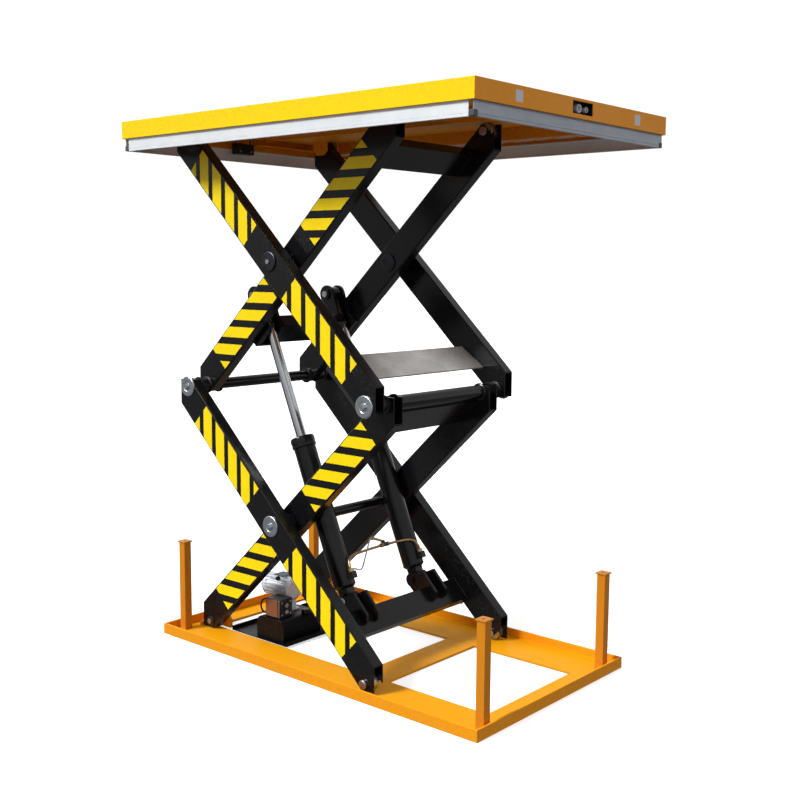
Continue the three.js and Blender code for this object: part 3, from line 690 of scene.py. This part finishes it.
def terminal_box(x, y, z, top):
    """The box on the motor with its screwed lid and a cable gland on the near side."""
    box = (*span(x, 62, 118), *span(y, -26, 26), z + 34 * MM, top - 3 * MM)
    plates("terminal_box", [box], "base", CAST, 2, 2)
    lid = (*span(x, 60, 120), *span(y, -28, 28), top - 4 * MM, top)
    plates("terminal_lid", [lid], "base", GREY_PLASTIC, 1.5, 2)
    for i, (dx, dy) in enumerate(((66, -22), (114, -22), (66, 22), (114, 22))):
        nut(f"lid_screw_{i}", 6, 0.3, shifted(x + dx * MM, y + dy * MM, top - 0.3 * MM), "base")
    gland = turned([(9, 0), (9, 8), (6, 14)], 1, 20)
    side = across(x + 90 * MM, y - 26 * MM, top - 13 * MM, -1)
    put("cable_gland", gland, side, "base", PLASTIC)


# ---------------- arms
def arms():
    for stage in ("lower", "upper"):
        for kind in ("inner", "outer"):
            for node in pair(f"{stage}_{kind}_arm"):
                refined(node, BLACK, 1.2 * MM, 2, tube_radius=TUBE_RADIUS)


def clip(polygon, axis, limit, keep_above):
    """The part of a convex polygon on one side of a line of constant x (axis 0) or z (axis 1)."""
    sign = 1 if keep_above else -1
    result = []
    for here, after in zip(polygon, polygon[1:] + polygon[:1]):
        d0 = sign * (here[axis] - limit)
        d1 = sign * (after[axis] - limit)
        if d0 >= 0:
            result.append(here)
        if d0 * d1 < 0:
            t = d0 / (d0 - d1)
            result.append(tuple(here[k] + (after[k] - here[k]) * t for k in (0, 1)))
    return result


def hazard_stripes():
    """Yellow film on the outer faces: bars level on the inner arms and upright on the outer ones."""
    routes = {"lower_inner": (LOW_LEFT, MID_RIGHT), "lower_outer": (MID_LEFT, LOW_RIGHT),
              "upper_inner": (MID_LEFT, UP_RIGHT), "upper_outer": (UP_LEFT, MID_RIGHT)}
    for body, (left, right) in routes.items():
        upper_side = Vector((-(right - left).z, 0, (right - left).x)).normalized()
        kind = body.split("_")[1]
        skew = ARM_SKEW if kind == "inner" else -ARM_SKEW
        start = left + upper_side * skew
        end = right - upper_side * skew
        for side, sign in SIDES:
            low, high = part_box(f"{body}_arm_{side}")
            stripes_on(f"{body}_{side}", body, kind, start, end, low.y if sign < 0 else high.y, sign)


def stripes_on(name, body, kind, start, end, face, sign):
    """The bars of one arm's two stickers, clipped to the stickers' outlines."""
    ahead = (end - start).normalized()
    up = Vector((-ahead.z, 0, ahead.x))
    centre = (start + end) / 2
    axis = 1 if kind == "inner" else 0
    slope = abs(ahead.z if kind == "inner" else ahead.x)
    half = STRIPE[kind] * slope / 2
    inner = face + sign * 0.02 * MM
    bars = []
    for way in (-1, 1):
        corners = []
        for along, rise in (("from", -1), ("to", -1), ("to", 1), ("from", 1)):
            corner = centre + ahead * way * STICKER[along] + up * rise * STICKER["half_width"]
            corners.append((corner.x, corner.z))
        for i in range(-1, 6):
            middle = centre + ahead * way * (STRIPE["first"] + i * STRIPE["pitch"])
            level = middle.z if axis else middle.x
            bar = clip(clip(corners, axis, level - half, True), axis, level + half, False)
            if len(bar) > 2:
                bars.append(prism(bar, inner, inner + sign * STICKER["thickness"]))
    piece(f"hazard_bars_{name}", joined(*bars), body, HAZARD)


# ---------------- beams and plates between the arms
def beams():
    """The cross beams and plates, welded to the arms at both ends, and the cylinders' lugs."""
    widths = {"foot_beam": 2.5, "top_beam": 2.5, "rod_beam": 1.6, "lower_inner_cross_plate": 1.5,
              "step_plate": 1.5}
    for node, width in widths.items():
        refined(node, TREAD if node == "step_plate" else BLACK, width * MM, 3)
        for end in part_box(node):
            weld_round(node, 1, end.y, BLACK)
    for node in (*pair("barrel_lug"), *pair("rod_lug")):
        refined(node, BLACK, 1.5 * MM)


def lug_pins():
    """Heads of the cylinders' pins outside the lugs, and the rod pins themselves."""
    for side, sign in SIDES:
        for name, body, point in (("barrel", "lower_outer", BARREL_PIN), ("rod", "upper_inner", ROD_PIN)):
            low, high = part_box(f"{name}_lug_{side}")
            outer = low.y if sign < 0 else high.y
            head = turned([(19, 0), (19, 4), (16, 7)])
            place = across(point.x, outer - sign * 7.2 * MM, point.z, sign)
            put(f"{name}_pin_head_{side}", head, place, body, ZINC)
        place = across(ROD_PIN.x, sign * CYLINDER_Y, ROD_PIN.z)
        put(f"rod_pin_{side}", disc(13.3, 50, 1, 32, start=-50), place, "upper_inner", ZINC)


# ---------------- pivots of the arms
def washer_stack(name, body, point, sign, face):
    """A plated washer with a raised rim and its bolt, against an outer arm's face."""
    r, t, flats = WASHER["radius"], WASHER["thickness"], WASHER["bolt_flats"]
    place = across(point.x, face + sign * 0.3 * MM, point.z, sign)
    washer = turned([(r, 0), (r, t * 0.7), (r * 0.93, t), (r * 0.55, t), (r * 0.5, t * 0.8)], 0.8, 56)
    put(f"{name}_washer", washer, place, body, ZINC)
    spring = placed(disc(flats * 0.72, 2, 0.4, 32), shifted(0, 0, t * 0.8 * MM))
    head = placed(hexagon(flats, 7.5), shifted(0, 0, (t * 0.8 + 2) * MM))
    put(f"{name}_bolt", joined(spring, head), place, body, ZINC)


def collar(name, body, point, sign, inner_face, outer_face):
    """The flanged bush between an inner arm and an outer arm, with its length in millimetres."""
    length = outer_face - inner_face
    flange = min(6, length / 3)
    bush = turned([(34, 0), (34, flange), (27, flange + 2), (27, length - flange - 2), (34, length - flange),
                   (34, length)], 1, 40)
    place = across(point.x, sign * inner_face * MM, point.z, sign)
    put(name, bush, place, body, DARK_STEEL)


def cross_shafts():
    """Shafts between the inner arms, with a bush and a washer at each end."""
    outer_face, outer_inside = (-edge.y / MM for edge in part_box("lower_outer_arm_near"))
    inner_face, inner_inside = (-edge.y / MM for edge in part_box("lower_inner_arm_near"))
    gap = 0.4
    shafts = (("lower_centre", "lower_inner", LOW_CENTRE, 20), ("mid_right", "lower_inner", MID_RIGHT, 27),
              ("mid_left", "lower_outer", MID_LEFT, 22), ("upper_centre", "upper_inner", UP_CENTRE, None))
    for name, body, point, radius in shafts:
        for side, sign in SIDES:
            if radius:
                washer_stack(f"{name}_{side}", body, point, sign, sign * outer_face * MM)
            collar(f"{name}_collar_{side}", body, point, sign, inner_face + gap, outer_inside - gap)
        if radius:
            half = inner_inside - gap
            tube = turned([(34, -half), (34, 6 - half), (radius, 9 - half), (radius, half - 9),
                           (34, half - 6), (34, half)], 1.5, 40)
            put(f"{name}_tube", tube, across(point.x, 0, point.z), body, BLACK, (f"{name}_shaft",))
    for side, sign in SIDES:
        upper_centre_pin(side, sign, outer_face, inner_inside)


def upper_centre_pin(side, sign, outer_face, inner_inside):
    """A short pin with a painted cap outside and a flange inside, so that the rods pass between."""
    node = f"upper_centre_pin_{side}"
    outside = across(UP_CENTRE.x, sign * (outer_face + 0.3) * MM, UP_CENTRE.z, sign)
    cap = turned([(37, 0), (37, 4), (33, 6)], 1, 48)
    put(f"{node}_cap", cap, outside, "upper_inner", DARK_STEEL, (node,))
    nut(f"{node}_bolt", 17, 5, outside @ shifted(0, 0, 6 * MM), "upper_inner")
    inside = across(UP_CENTRE.x, sign * (inner_inside - 0.3) * MM, UP_CENTRE.z, -sign)
    flange = turned([(37, 0), (37, 5), (20, 6.5)], 1, 40)
    put(f"{node}_flange", flange, inside, "upper_inner", DARK_STEEL)


def rollers():
    """Crowned steel rollers with side grooves and stepped axle ends."""
    half, axle, end, shoulder = 19.5, 12, 16.5, 25.5
    for level, point in (("lower", LOW_RIGHT), ("upper", UP_RIGHT)):
        for node in pair(f"{level}_roller"):
            low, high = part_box(node)
            r = (high.z - low.z) / 2 / MM
            reach = (high.y - low.y) / 2 / MM
            profile = [(0, -reach), (end - 2, -reach), (end, 2 - reach), (end, -shoulder), (axle, -shoulder),
                       (axle, -half), (r * 0.62, -half), (r * 0.66, 2 - half), (r * 0.84, 2 - half),
                       (r * 0.88, -half), (r * 0.96, -half), (r, 2.5 - half)]
            mirrored = [(radius, -z) for radius, z in reversed(profile)]
            bm = lathe(soften(scaled(profile + mirrored), 0.8 * MM, 2), 48)
            place = across(point.x, (low.y + high.y) / 2, point.z)
            put(f"{node}_turned", bm, place, node, ZINC, (node,))


# ---------------- hydraulic cylinders
BARREL_PIN = joint_point("cylinder_swing")
CYLINDER_AXIS = Vector(JOINT["cylinder_stroke"]["axis"]).normalized()
ROD_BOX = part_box("cylinder_rod_near")
ROD_PIN = Vector((ROD_BOX[0].x + EYE["radius"] * MM, 0, ROD_BOX[1].z - EYE["radius"] * MM))
PIN_DISTANCE = (ROD_PIN - BARREL_PIN).length / MM


def cylinder_place(y):
    return basis((BARREL_PIN.x, y, BARREL_PIN.z), CYLINDER_AXIS)


def eye_ring(bore, pin, sign):
    """The eye at the end of a barrel or rod, through which its pin goes."""
    outer, half = EYE["radius"], EYE["half_width"]
    ring = [(bore, -half), (outer - 2, -half), (outer, 2 - half), (outer, half - 2), (outer - 2, half),
            (bore, half)]
    return placed(lathe(scaled(ring), 40, ring=True), across(pin.x, sign * CYLINDER_Y, pin.z))


def barrel(side, sign):
    """A tube with a weld ring at its foot, a gland with spanner holes, and an eye on a neck."""
    place = cylinder_place(sign * CYLINDER_Y)
    start, end, r = BARREL["start"], BARREL["end"], BARREL["radius"]
    g = GLAND["radius"]
    gland = end - GLAND["length"]
    rod_radius = ROD["radius"]
    bore = rod_radius + 0.4
    tube = turned([(r - 9, start), (r - 1, start + 8), (r + 1.2, start + 11), (r, start + 15),
                   (r, gland - 3), (r - 2, gland - 2), (r - 2, gland)], 1.2, 56)
    put(f"barrel_tube_{side}", tube, place, "cylinder_barrels", BLACK, (f"cylinder_barrel_{side}",))
    ring = [(bore, gland), (g, gland), (g, gland + 11), (g - 1.5, gland + 12), (g - 1.5, gland + 15),
            (g, gland + 16), (g, end - 8), (g - 4, end - 2), (rod_radius + 9, end - 2),
            (rod_radius + 7, end), (rod_radius + 2, end), (bore, end - 3)]
    put(f"barrel_gland_{side}", lathe(scaled(ring), 56, ring=True), place, "cylinder_barrels", BLACK)
    for i in range(4):
        turn = math.pi / 4 + i * math.pi / 2
        outward = Vector((math.cos(turn), math.sin(turn), 0))
        spot = basis(outward * g * 0.955 * MM + Vector((0, 0, (end - 14) * MM)), outward, (0, 0, 1))
        put(f"gland_hole_{side}_{i}", disc(4, 2.6, 0.4, 16), place @ spot, "cylinder_barrels", DARK_STEEL)
    reach = (EYE["half_width"] - 1) * MM
    neck = prism(scaled([(-23, 18), (23, 18), (26, start + 1), (-26, start + 1)]), -reach, reach, 1.5 * MM)
    eye = joined(eye_ring(14, BARREL_PIN, sign), placed(neck, place))
    piece(f"barrel_eye_{side}", eye, "cylinder_barrels", BLACK)
    port_block(side, place)


def port_block(side, place):
    """The boss on the barrel's lower end, with the nut of its pipe and a plug screw."""
    r = BARREL["radius"]
    block = (*span(0, r - 8, r + 26), *span(0, -13, 13), *span(0, PORT_Z - 13, PORT_Z + 13))
    boss = round_edges(from_boxes([block]), 1.5 * MM)
    put(f"port_block_{side}", boss, place, "cylinder_barrels", BLACK)
    top = shifted((r + 13) * MM, 0, (PORT_Z + 13) * MM)
    nut(f"port_nut_{side}", 19, 12, place @ top, "cylinder_barrels", BRASS)
    front = facing_x((r + 18.5) * MM, 0, PORT_Z * MM)
    nut(f"port_screw_{side}", 17, 7, place @ front, "cylinder_barrels")


def rod(side, sign):
    """A chromed bar from inside the barrel to the collar of its eye."""
    place = cylinder_place(sign * CYLINDER_Y)
    r = ROD["radius"]
    bar = disc(r, PIN_DISTANCE - 24, 1, 48, start=ROD["start"])
    put(f"rod_bar_{side}", bar, place, "cylinder_rods", CHROME, (f"cylinder_rod_{side}",))
    low, high = PIN_DISTANCE - 40, PIN_DISTANCE - 22
    neck = turned([(r + 3, low), (r + 4, high)], 2, 40)
    eye = joined(eye_ring(13.5, ROD_PIN, sign), placed(neck, place))
    piece(f"rod_eye_{side}", eye, "cylinder_rods", BLACK)


def cylinder_pipes():
    """A hard pipe from port to port with a tee, and a branch with a thin drain to the near barrel."""
    place = cylinder_place(0)
    x = BARREL["radius"] + 13
    bowed = x - 4
    low = PORT_Z + 13
    y = CYLINDER_Y / MM
    tee_y = 18
    tee_z = low + 65.5
    halves = []
    for way in (1, -1):
        route = [(x, way * y, low), (x, way * y, low + 22), (bowed, way * (y - 14), low + 48),
                 (bowed, way * (y - 60), low + 60), (bowed, tee_y + way * 16, low + 65)]
        halves.append(sweep(spline(scaled(route)), PIPE_RADIUS, 14))
    put("cross_pipe_bent", joined(*halves), place, "cylinder_barrels", COPPER, ("cross_pipe",))
    tee = Vector(scaled([(bowed, tee_y, tee_z)])[0])
    run = placed(disc(8, 13, 1, start=-13), across(*tee))
    stem = placed(disc(8, 18, 1), basis(tee, (0, -0.35, 0.94)))
    put("pipe_tee", joined(run, stem), place, "cylinder_barrels", DARK_STEEL)
    for i, way in enumerate((1, -1)):
        spot = basis(tee + Vector((0, way * 11 * MM, 0)), (0, way, 0), (0, 0, 1))
        nut(f"tee_nut_{i}", 17, 12, place @ spot, "cylinder_barrels", BRASS)
    elbow = (bowed, tee_y - 52, tee_z + 34)
    branch = scaled([(bowed, tee_y - 5, tee_z + 14), (bowed, tee_y - 22, tee_z + 22), elbow])
    put("branch_pipe", sweep(spline(branch), PIPE_RADIUS, 14), place, "cylinder_barrels", COPPER)
    plug = basis(scaled([elbow])[0], (0, -0.85, 0.5))
    nut("branch_nut", 15, 10, place @ plug, "cylinder_barrels", BRASS)
    drops = ((0, -4, 2), (0, -20, -2), (2, -62, -48), (4, -112, -100))
    drain = [tuple(e + d for e, d in zip(elbow, drop)) for drop in drops]
    drain += [(x + 4, 13 - y, low + 8), (x + 4, 11 - y, PORT_Z + 2)]
    put("drain_pipe", sweep(spline(scaled(drain)), 3 * MM), place, "cylinder_barrels", ZINC)


def cylinders():
    for side, sign in SIDES:
        barrel(side, sign)
        rod(side, sign)
    cylinder_pipes()


# ---------------- platform
PANEL_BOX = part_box("control_panel")
PANEL_RIM = 8 * MM
PANEL = (PANEL_BOX[0].y + PANEL_RIM, PANEL_BOX[1].y - PANEL_RIM, PANEL_BOX[0].z + 2 * MM,
         PANEL_BOX[1].z - 3 * MM)


def platform():
    deck_low, deck_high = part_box("deck_plate")
    x1, y1 = deck_high.x, deck_high.y
    platform_pan(x1, y1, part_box("skirt_near")[0].z, deck_low.z, deck_high.z)
    for node in pair("deck_lug"):
        refined(node, ORANGE, 1.5 * MM)
        weld_round(node, 2, deck_low.z, ORANGE)
    lifting_plugs(x1, y1, deck_high.z)
    deck_channels(x1, y1, deck_low.z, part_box("skirt_near")[0].z + 12 * MM)
    deck_ribs(x1, y1, deck_low.z)
    name_plates(x1)
    control_panel()
    trip_switch(x1, deck_low.z)


def platform_pan(x1, y1, skirt_bottom, underside, top):
    """The deck with its skirts: yellow above and on the long sides, orange at the ends as painted shade,
    and orange beneath and inside.
    """
    wall = 4 * MM
    cavity = (wall - x1, x1 - wall, wall - y1, y1 - wall, skirt_bottom - 1 * MM, underside)
    window = (x1 - 2 * wall, x1 + wall, *PANEL)
    names = ("deck_plate", *pair("skirt"), "skirt_right", "skirt_left")
    pan = plates("platform_pan", [(-x1, x1, -y1, y1, skirt_bottom, top)], "platform", YELLOW, 1.8, 3,
                 (cavity, window), names)
    # The end skirts take the orange instead of the yellow as painted shade; the underside and inside are
    # orange too.
    pan.data.materials.append(ORANGE)
    for face in pan.data.polygons:
        at_end = abs(face.normal.x) > FACING
        beneath = face.center.z < underside + 1 * MM and face.normal.z < -0.5
        inside = abs(face.center.y) < y1 - wall / 2 and face.center.z < (underside + top) / 2
        if at_end or beneath or inside:
            face.material_index = 1


def lifting_plugs(x1, y1, top):
    """Threaded lifting points near the corners, closed by flush socket plugs."""
    for i, (sx, sy) in enumerate(((-1, -1), (1, -1), (-1, 1), (1, 1))):
        x = sx * (x1 - 150 * MM)
        y = sy * (y1 - 120 * MM)
        ring = scaled([(4.5, 0), (13, 0), (13, 1), (12, 1.6), (5.5, 1.6), (4.5, 0.8)])
        plug = lathe(ring, 32, ring=True)
        put(f"lifting_plug_{i}", plug, shifted(x, y, top - 1.3 * MM), "platform", ZINC)
        socket = lathe(scaled([(0, 0), (5, 0), (5, 0.6), (0, 0.6)]), 6)
        put(f"plug_socket_{i}", socket, shifted(x, y, top - 0.5 * MM), "platform", PLASTIC)


def deck_channels(x1, y1, underside, bottom):
    """A long channel inside each side skirt, its row of pale tabs, and brackets to the skirt."""
    web = 4 * MM
    length = x1 - 60 * MM
    for side, sign in SIDES:
        skirt = sign * y1
        low, high = span(skirt, -sign * 62, -sign * 130)
        boxes = [(-length, length, low, low + web, bottom, underside),
                 (-length, length, high - web, high, bottom, underside),
                 (-length, length, low, high, bottom, bottom + web)]
        plates(f"deck_channel_{side}", boxes, "platform", ORANGE)
        tabs = []
        for k in range(8):
            for row, inset in enumerate((68, 108)):
                start = -length + (70 + k * 190 + row * 55) * MM
                rest = (*span(skirt, -sign * inset, -sign * (inset + 14)), *span(bottom, -2, 1))
                tabs += [(*span(start, 0, 85), *rest), (*span(start, 110, 145), *rest)]
        plates(f"deck_tabs_{side}", tabs, "platform", PALE, 0.4)
        for k in range(5):
            along = span(-length, 190 + k * 290, 230 + k * 290)
            low, high = span(skirt, -sign * 6, -sign * 58)
            plates(f"skirt_bracket_{side}_{k}", [(*along, low, high, underside - 4 * MM, underside),
                                                 (*along, low, low + 4 * MM, underside - 38 * MM, underside)],
                   "platform", ZINC)


def deck_ribs(x1, y1, underside):
    """Flat bars along the deck, and angles across its ends that leave the panel's window free."""
    for k in range(4):
        y = (-0.5 + k / 3) * 240 * MM
        plates(f"deck_rib_{k}", [(60 * MM - x1, x1 - 60 * MM, *span(y, -2.5, 2.5), *span(underside, -14, 0))],
               "platform", ORANGE)
    gap = 90 * MM
    reach = y1 - 140 * MM
    spans = [(end, *y) for end in (-1, 1) for y in ((-reach, -gap), (gap, reach))]
    for k, (end, *y) in enumerate(spans):
        web = span(end * x1, -end * 8, -end * 13)
        flange = span(end * x1, -end * 8, -end * 44)
        boxes = [(*web, *y, *span(underside, -30, 0)), (*flange, *y, *span(underside, -30, -26))]
        plates(f"deck_cross_rib_{k}", boxes, "platform", ORANGE)


PLATE = {"from": (-371, 346), "width": 38, "bottom": 2000, "height": 36}


def name_plates(x1):
    """Two blank plates riveted to the right skirt."""
    bottom = PLATE["bottom"] * MM
    for i, start in enumerate(PLATE["from"]):
        y = span(start * MM, 0, PLATE["width"])
        box = (*span(x1, -0.5, 0.3), *y, *span(bottom, 0, PLATE["height"]))
        plates(f"blank_plate_{i}", [box], "platform", PALE, 0.15)
        for j, (side, inset, z) in enumerate(((0, 3.5, 3.5), (1, -3.5, 32.5))):
            rivet = lathe(soften(scaled([(0, 0), (1.8, 0), (1.2, 0.9), (0, 1.1)]), 0.2 * MM), 12)
            place = facing_x(x1 - 0.4 * MM, y[side] + inset * MM, bottom + z * MM)
            put(f"blank_plate_rivet_{i}_{j}", rivet, place, "platform", ZINC)


def control_panel():
    """The recessed socket panel in the right skirt."""
    low, high = PANEL_BOX
    y0, y1, z0, z1 = PANEL
    back = low.x + 8 * MM
    plates("panel_shell", [(low.x, high.x, low.y, high.y, low.z, high.z)], "platform", PLASTIC, 1, 2,
           [(back, high.x + 1 * MM, *PANEL)], ("control_panel",))
    middle_y, middle_z = (y0 + y1) / 2, (z0 + z1) / 2
    for i, (dy, r, hole) in enumerate(((-4, 15, 9), (42, 10, 5.5))):
        socket = turned([(r, 0), (r, 12), (r - 2, 15), (hole + 1, 15), (hole, 14), (hole, 6)], 0.6)
        place = facing_x(back - 1 * MM, middle_y + dy * MM, middle_z)
        put(f"panel_socket_{i}", socket, place, "platform", PALE)
    for i, dy in enumerate((-50 * MM, 22 * MM)):
        nut(f"panel_screw_{i}", 6, 3, facing_x(back, middle_y + dy, middle_z + 12 * MM), "platform")


def trip_switch(x1, underside):
    """The limit switch that the trip frame works, on a bracket behind its left bar."""
    x = 27 * MM - x1
    y0, y1, z0, z1 = -45 * MM, 50 * MM, 1968 * MM, 2012 * MM
    plates("trip_switch", [(*span(x, 0, 32), y0, y1, z0, z1)], "platform", PLASTIC, 2.5, 2)
    legs = [(*span(x, 15, 28), *y, z1 - 2 * MM, underside) for y in (span(y0, 8, 12), span(y1, -12, -8))]
    plates("trip_switch_bracket", legs, "platform", ZINC, 0.6)
    for i, y in enumerate((y0 + 18 * MM, y1 - 18 * MM)):
        nut(f"trip_switch_screw_{i}", 7, 3, facing_x(x + 32 * MM, y, z0 + 12 * MM), "platform")


# ---------------- trip frame
TRIP = {"corner": 19, "depth": 12, "proud": 1.5}


def trip_frame():
    """Aluminium bars with lipped edges and grooves, and grey corner blocks under their joints."""
    for side, sign in SIDES:
        low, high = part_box(f"trip_bar_{side}")
        spread = Vector(((TRIP["corner"] - TRIP["depth"] - 0.5) * MM, 0, 0))
        trip_bar(side, low - spread, high + spread, 1, sign)
    for side, sign in (("right", 1), ("left", -1)):
        low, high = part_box(f"trip_bar_{side}")
        outer = high.x if sign > 0 else low.x
        x = span(outer, 0, -sign * TRIP["depth"])
        trip_bar(side, Vector((x[0], low.y, low.z)), Vector((x[1], high.y, high.z)), 0, sign)
        for end, way in SIDES:
            x = span(outer, sign * TRIP["proud"], -sign * TRIP["corner"])
            y = span(high.y if way > 0 else low.y, way * TRIP["proud"], -way * TRIP["corner"])
            corner = (*x, *y, *span(low.z, 0, TRIP["corner"]))
            plates(f"trip_corner_{side}_{end}", [corner], "trip_frame", GREY_PLASTIC, 2, 3)


def trip_bar(side, low, high, axis, sign):
    """A rail whose outer face looks along axis: a web with a lip at the top and bottom edges."""
    outer, inner = (high[axis], low[axis]) if sign > 0 else (low[axis], high[axis])
    lip = 4 * MM
    other = 1 - axis

    def box(across_span, z0, z1):
        spans = {axis: sorted(across_span), other: [low[other], high[other]]}
        return (*spans[0], *spans[1], z0, z1)

    boxes = [box((outer, outer - sign * 3 * MM), low.z, high.z), box((outer, inner), low.z, low.z + lip),
             box((outer, inner), high.z - lip, high.z)]
    groove = span(outer, sign * 1, -sign * 0.9)
    holes = [box(groove, *span(high.z, -9, -7.6)), box(groove, *span(low.z, 7.6, 9))]
    # The right bar takes the darker copy of the aluminium: painted shade.
    material = SHADED_ALUMINIUM if side == "right" else ALUMINIUM
    plates(f"trip_rail_{side}", boxes, "trip_frame", material, 0.35, 1, holes, (f"trip_bar_{side}",))


# ---------------- camera, light and floor
def camera():
    data = bpy.data.cameras.new("camera")
    data.lens = CAMERA["lens"]
    data.sensor_width = 36.0
    data.clip_end = 200.0
    obj = bpy.data.objects.new("camera", data)
    bpy.context.scene.collection.objects.link(obj)
    turn = Matrix.Rotation(math.radians(CAMERA["yaw"]), 4, "Z")
    tilt = Matrix.Rotation(math.radians(90 + CAMERA["pitch"]), 4, "X")
    roll = Matrix.Rotation(math.radians(CAMERA["roll"]), 4, "Z")
    obj.matrix_world = Matrix.Translation(CAMERA["place"]) @ turn @ tilt @ roll
    bpy.context.scene.camera = obj


class Studio(Nodes):
    """The world's brightness, built up from the direction of sight."""

    def __init__(self, world):
        world.use_nodes = True
        super().__init__(world.node_tree, "Generated")

    def facing(self, towards, low, high):
        """0 to 1 as the direction of sight turns towards a given direction."""
        inputs = {0: self.coordinates, 1: Vector(towards).normalized()}
        dot = self.add("ShaderNodeVectorMath", inputs, operation="DOT_PRODUCT").outputs["Value"]
        return self.ramp(dot, low, high, interpolation_type="SMOOTHSTEP")

    def blend(self, factor, first, second):
        return self.add("ShaderNodeMix", {0: factor, 2: first, 3: second}, data_type="FLOAT").outputs[0]


def lights():
    """A dim room with a bright backdrop, a lighter right side, and a soft key from the front left."""
    bpy.context.scene.view_settings.view_transform = "Standard"
    world = bpy.data.worlds.new("studio")
    bpy.context.scene.world = world
    studio = Studio(world)
    value = studio.blend(studio.facing((1, 0.3, 0.2), -0.2, 0.8), ROOM["dim"], ROOM["right"])
    value = studio.blend(studio.facing((0, 0, 1), 0.1, 0.7), value, ROOM["ceiling"])
    value = studio.blend(studio.facing((-0.654, 0.756, 0), 0.62, 0.86), value, ROOM["backdrop"])
    value = studio.blend(studio.facing((0, 0, -1), 0.02, 0.10), value, ROOM["below"])
    studio.tree.links.new(value, studio.tree.nodes["Background"].inputs["Color"])
    sun = bpy.data.lights.new("key", "SUN")
    sun.energy = KEY["strength"]
    sun.angle = math.radians(KEY["angle"])
    obj = bpy.data.objects.new("key", sun)
    bpy.context.scene.collection.objects.link(obj)
    obj.rotation_euler = Vector(KEY["from"]).to_track_quat("Z", "Y").to_euler()


def staged(name, bm, material):
    """A part of the studio that only the camera sees. It lights nothing and hides no light."""
    obj = mesh_object(name, bm, material)
    obj.visible_diffuse = False
    obj.visible_glossy = False
    obj.visible_shadow = False


def floor():
    """A pale floor that glows a little, so that it stays light under the table, in a white dome."""
    size = 60
    flat = bmesh.new()
    flat.faces.new([flat.verts.new((x, y, -0.2 * MM)) for x, y in
                    ((-size, -size), (size, -size), (size, size), (-size, size))])
    s = Shader("pale_floor", "none")
    tone = s.mix(s.noise(0.7), (0.78, 0.78, 0.78), (0.80, 0.80, 0.80))
    staged("floor", flat, s.finish(tone, None, Roughness=0.9, Specular_IOR_Level=0.1,
                                   Emission_Color=(1, 1, 1, 1), Emission_Strength=0.6))
    dome = bmesh.new()
    bmesh.ops.create_icosphere(dome, subdivisions=4, radius=size * 0.9)
    s = Shader("white_dome", "none")
    tone = s.mix(s.noise(0.05), (0.02, 0.02, 0.02), (0.03, 0.03, 0.03))
    staged("dome", dome, s.finish(tone, None, Roughness=1.0, Specular_IOR_Level=0.0,
                                  Emission_Color=(1, 1, 1, 1), Emission_Strength=1.05))


# ---------------- assembly
camera()
lights()
floor()
base_frame()
base_pivots()
power_pack()
arms()
hazard_stripes()
beams()
lug_pins()
cross_shafts()
rollers()
cylinders()
platform()
trip_frame()
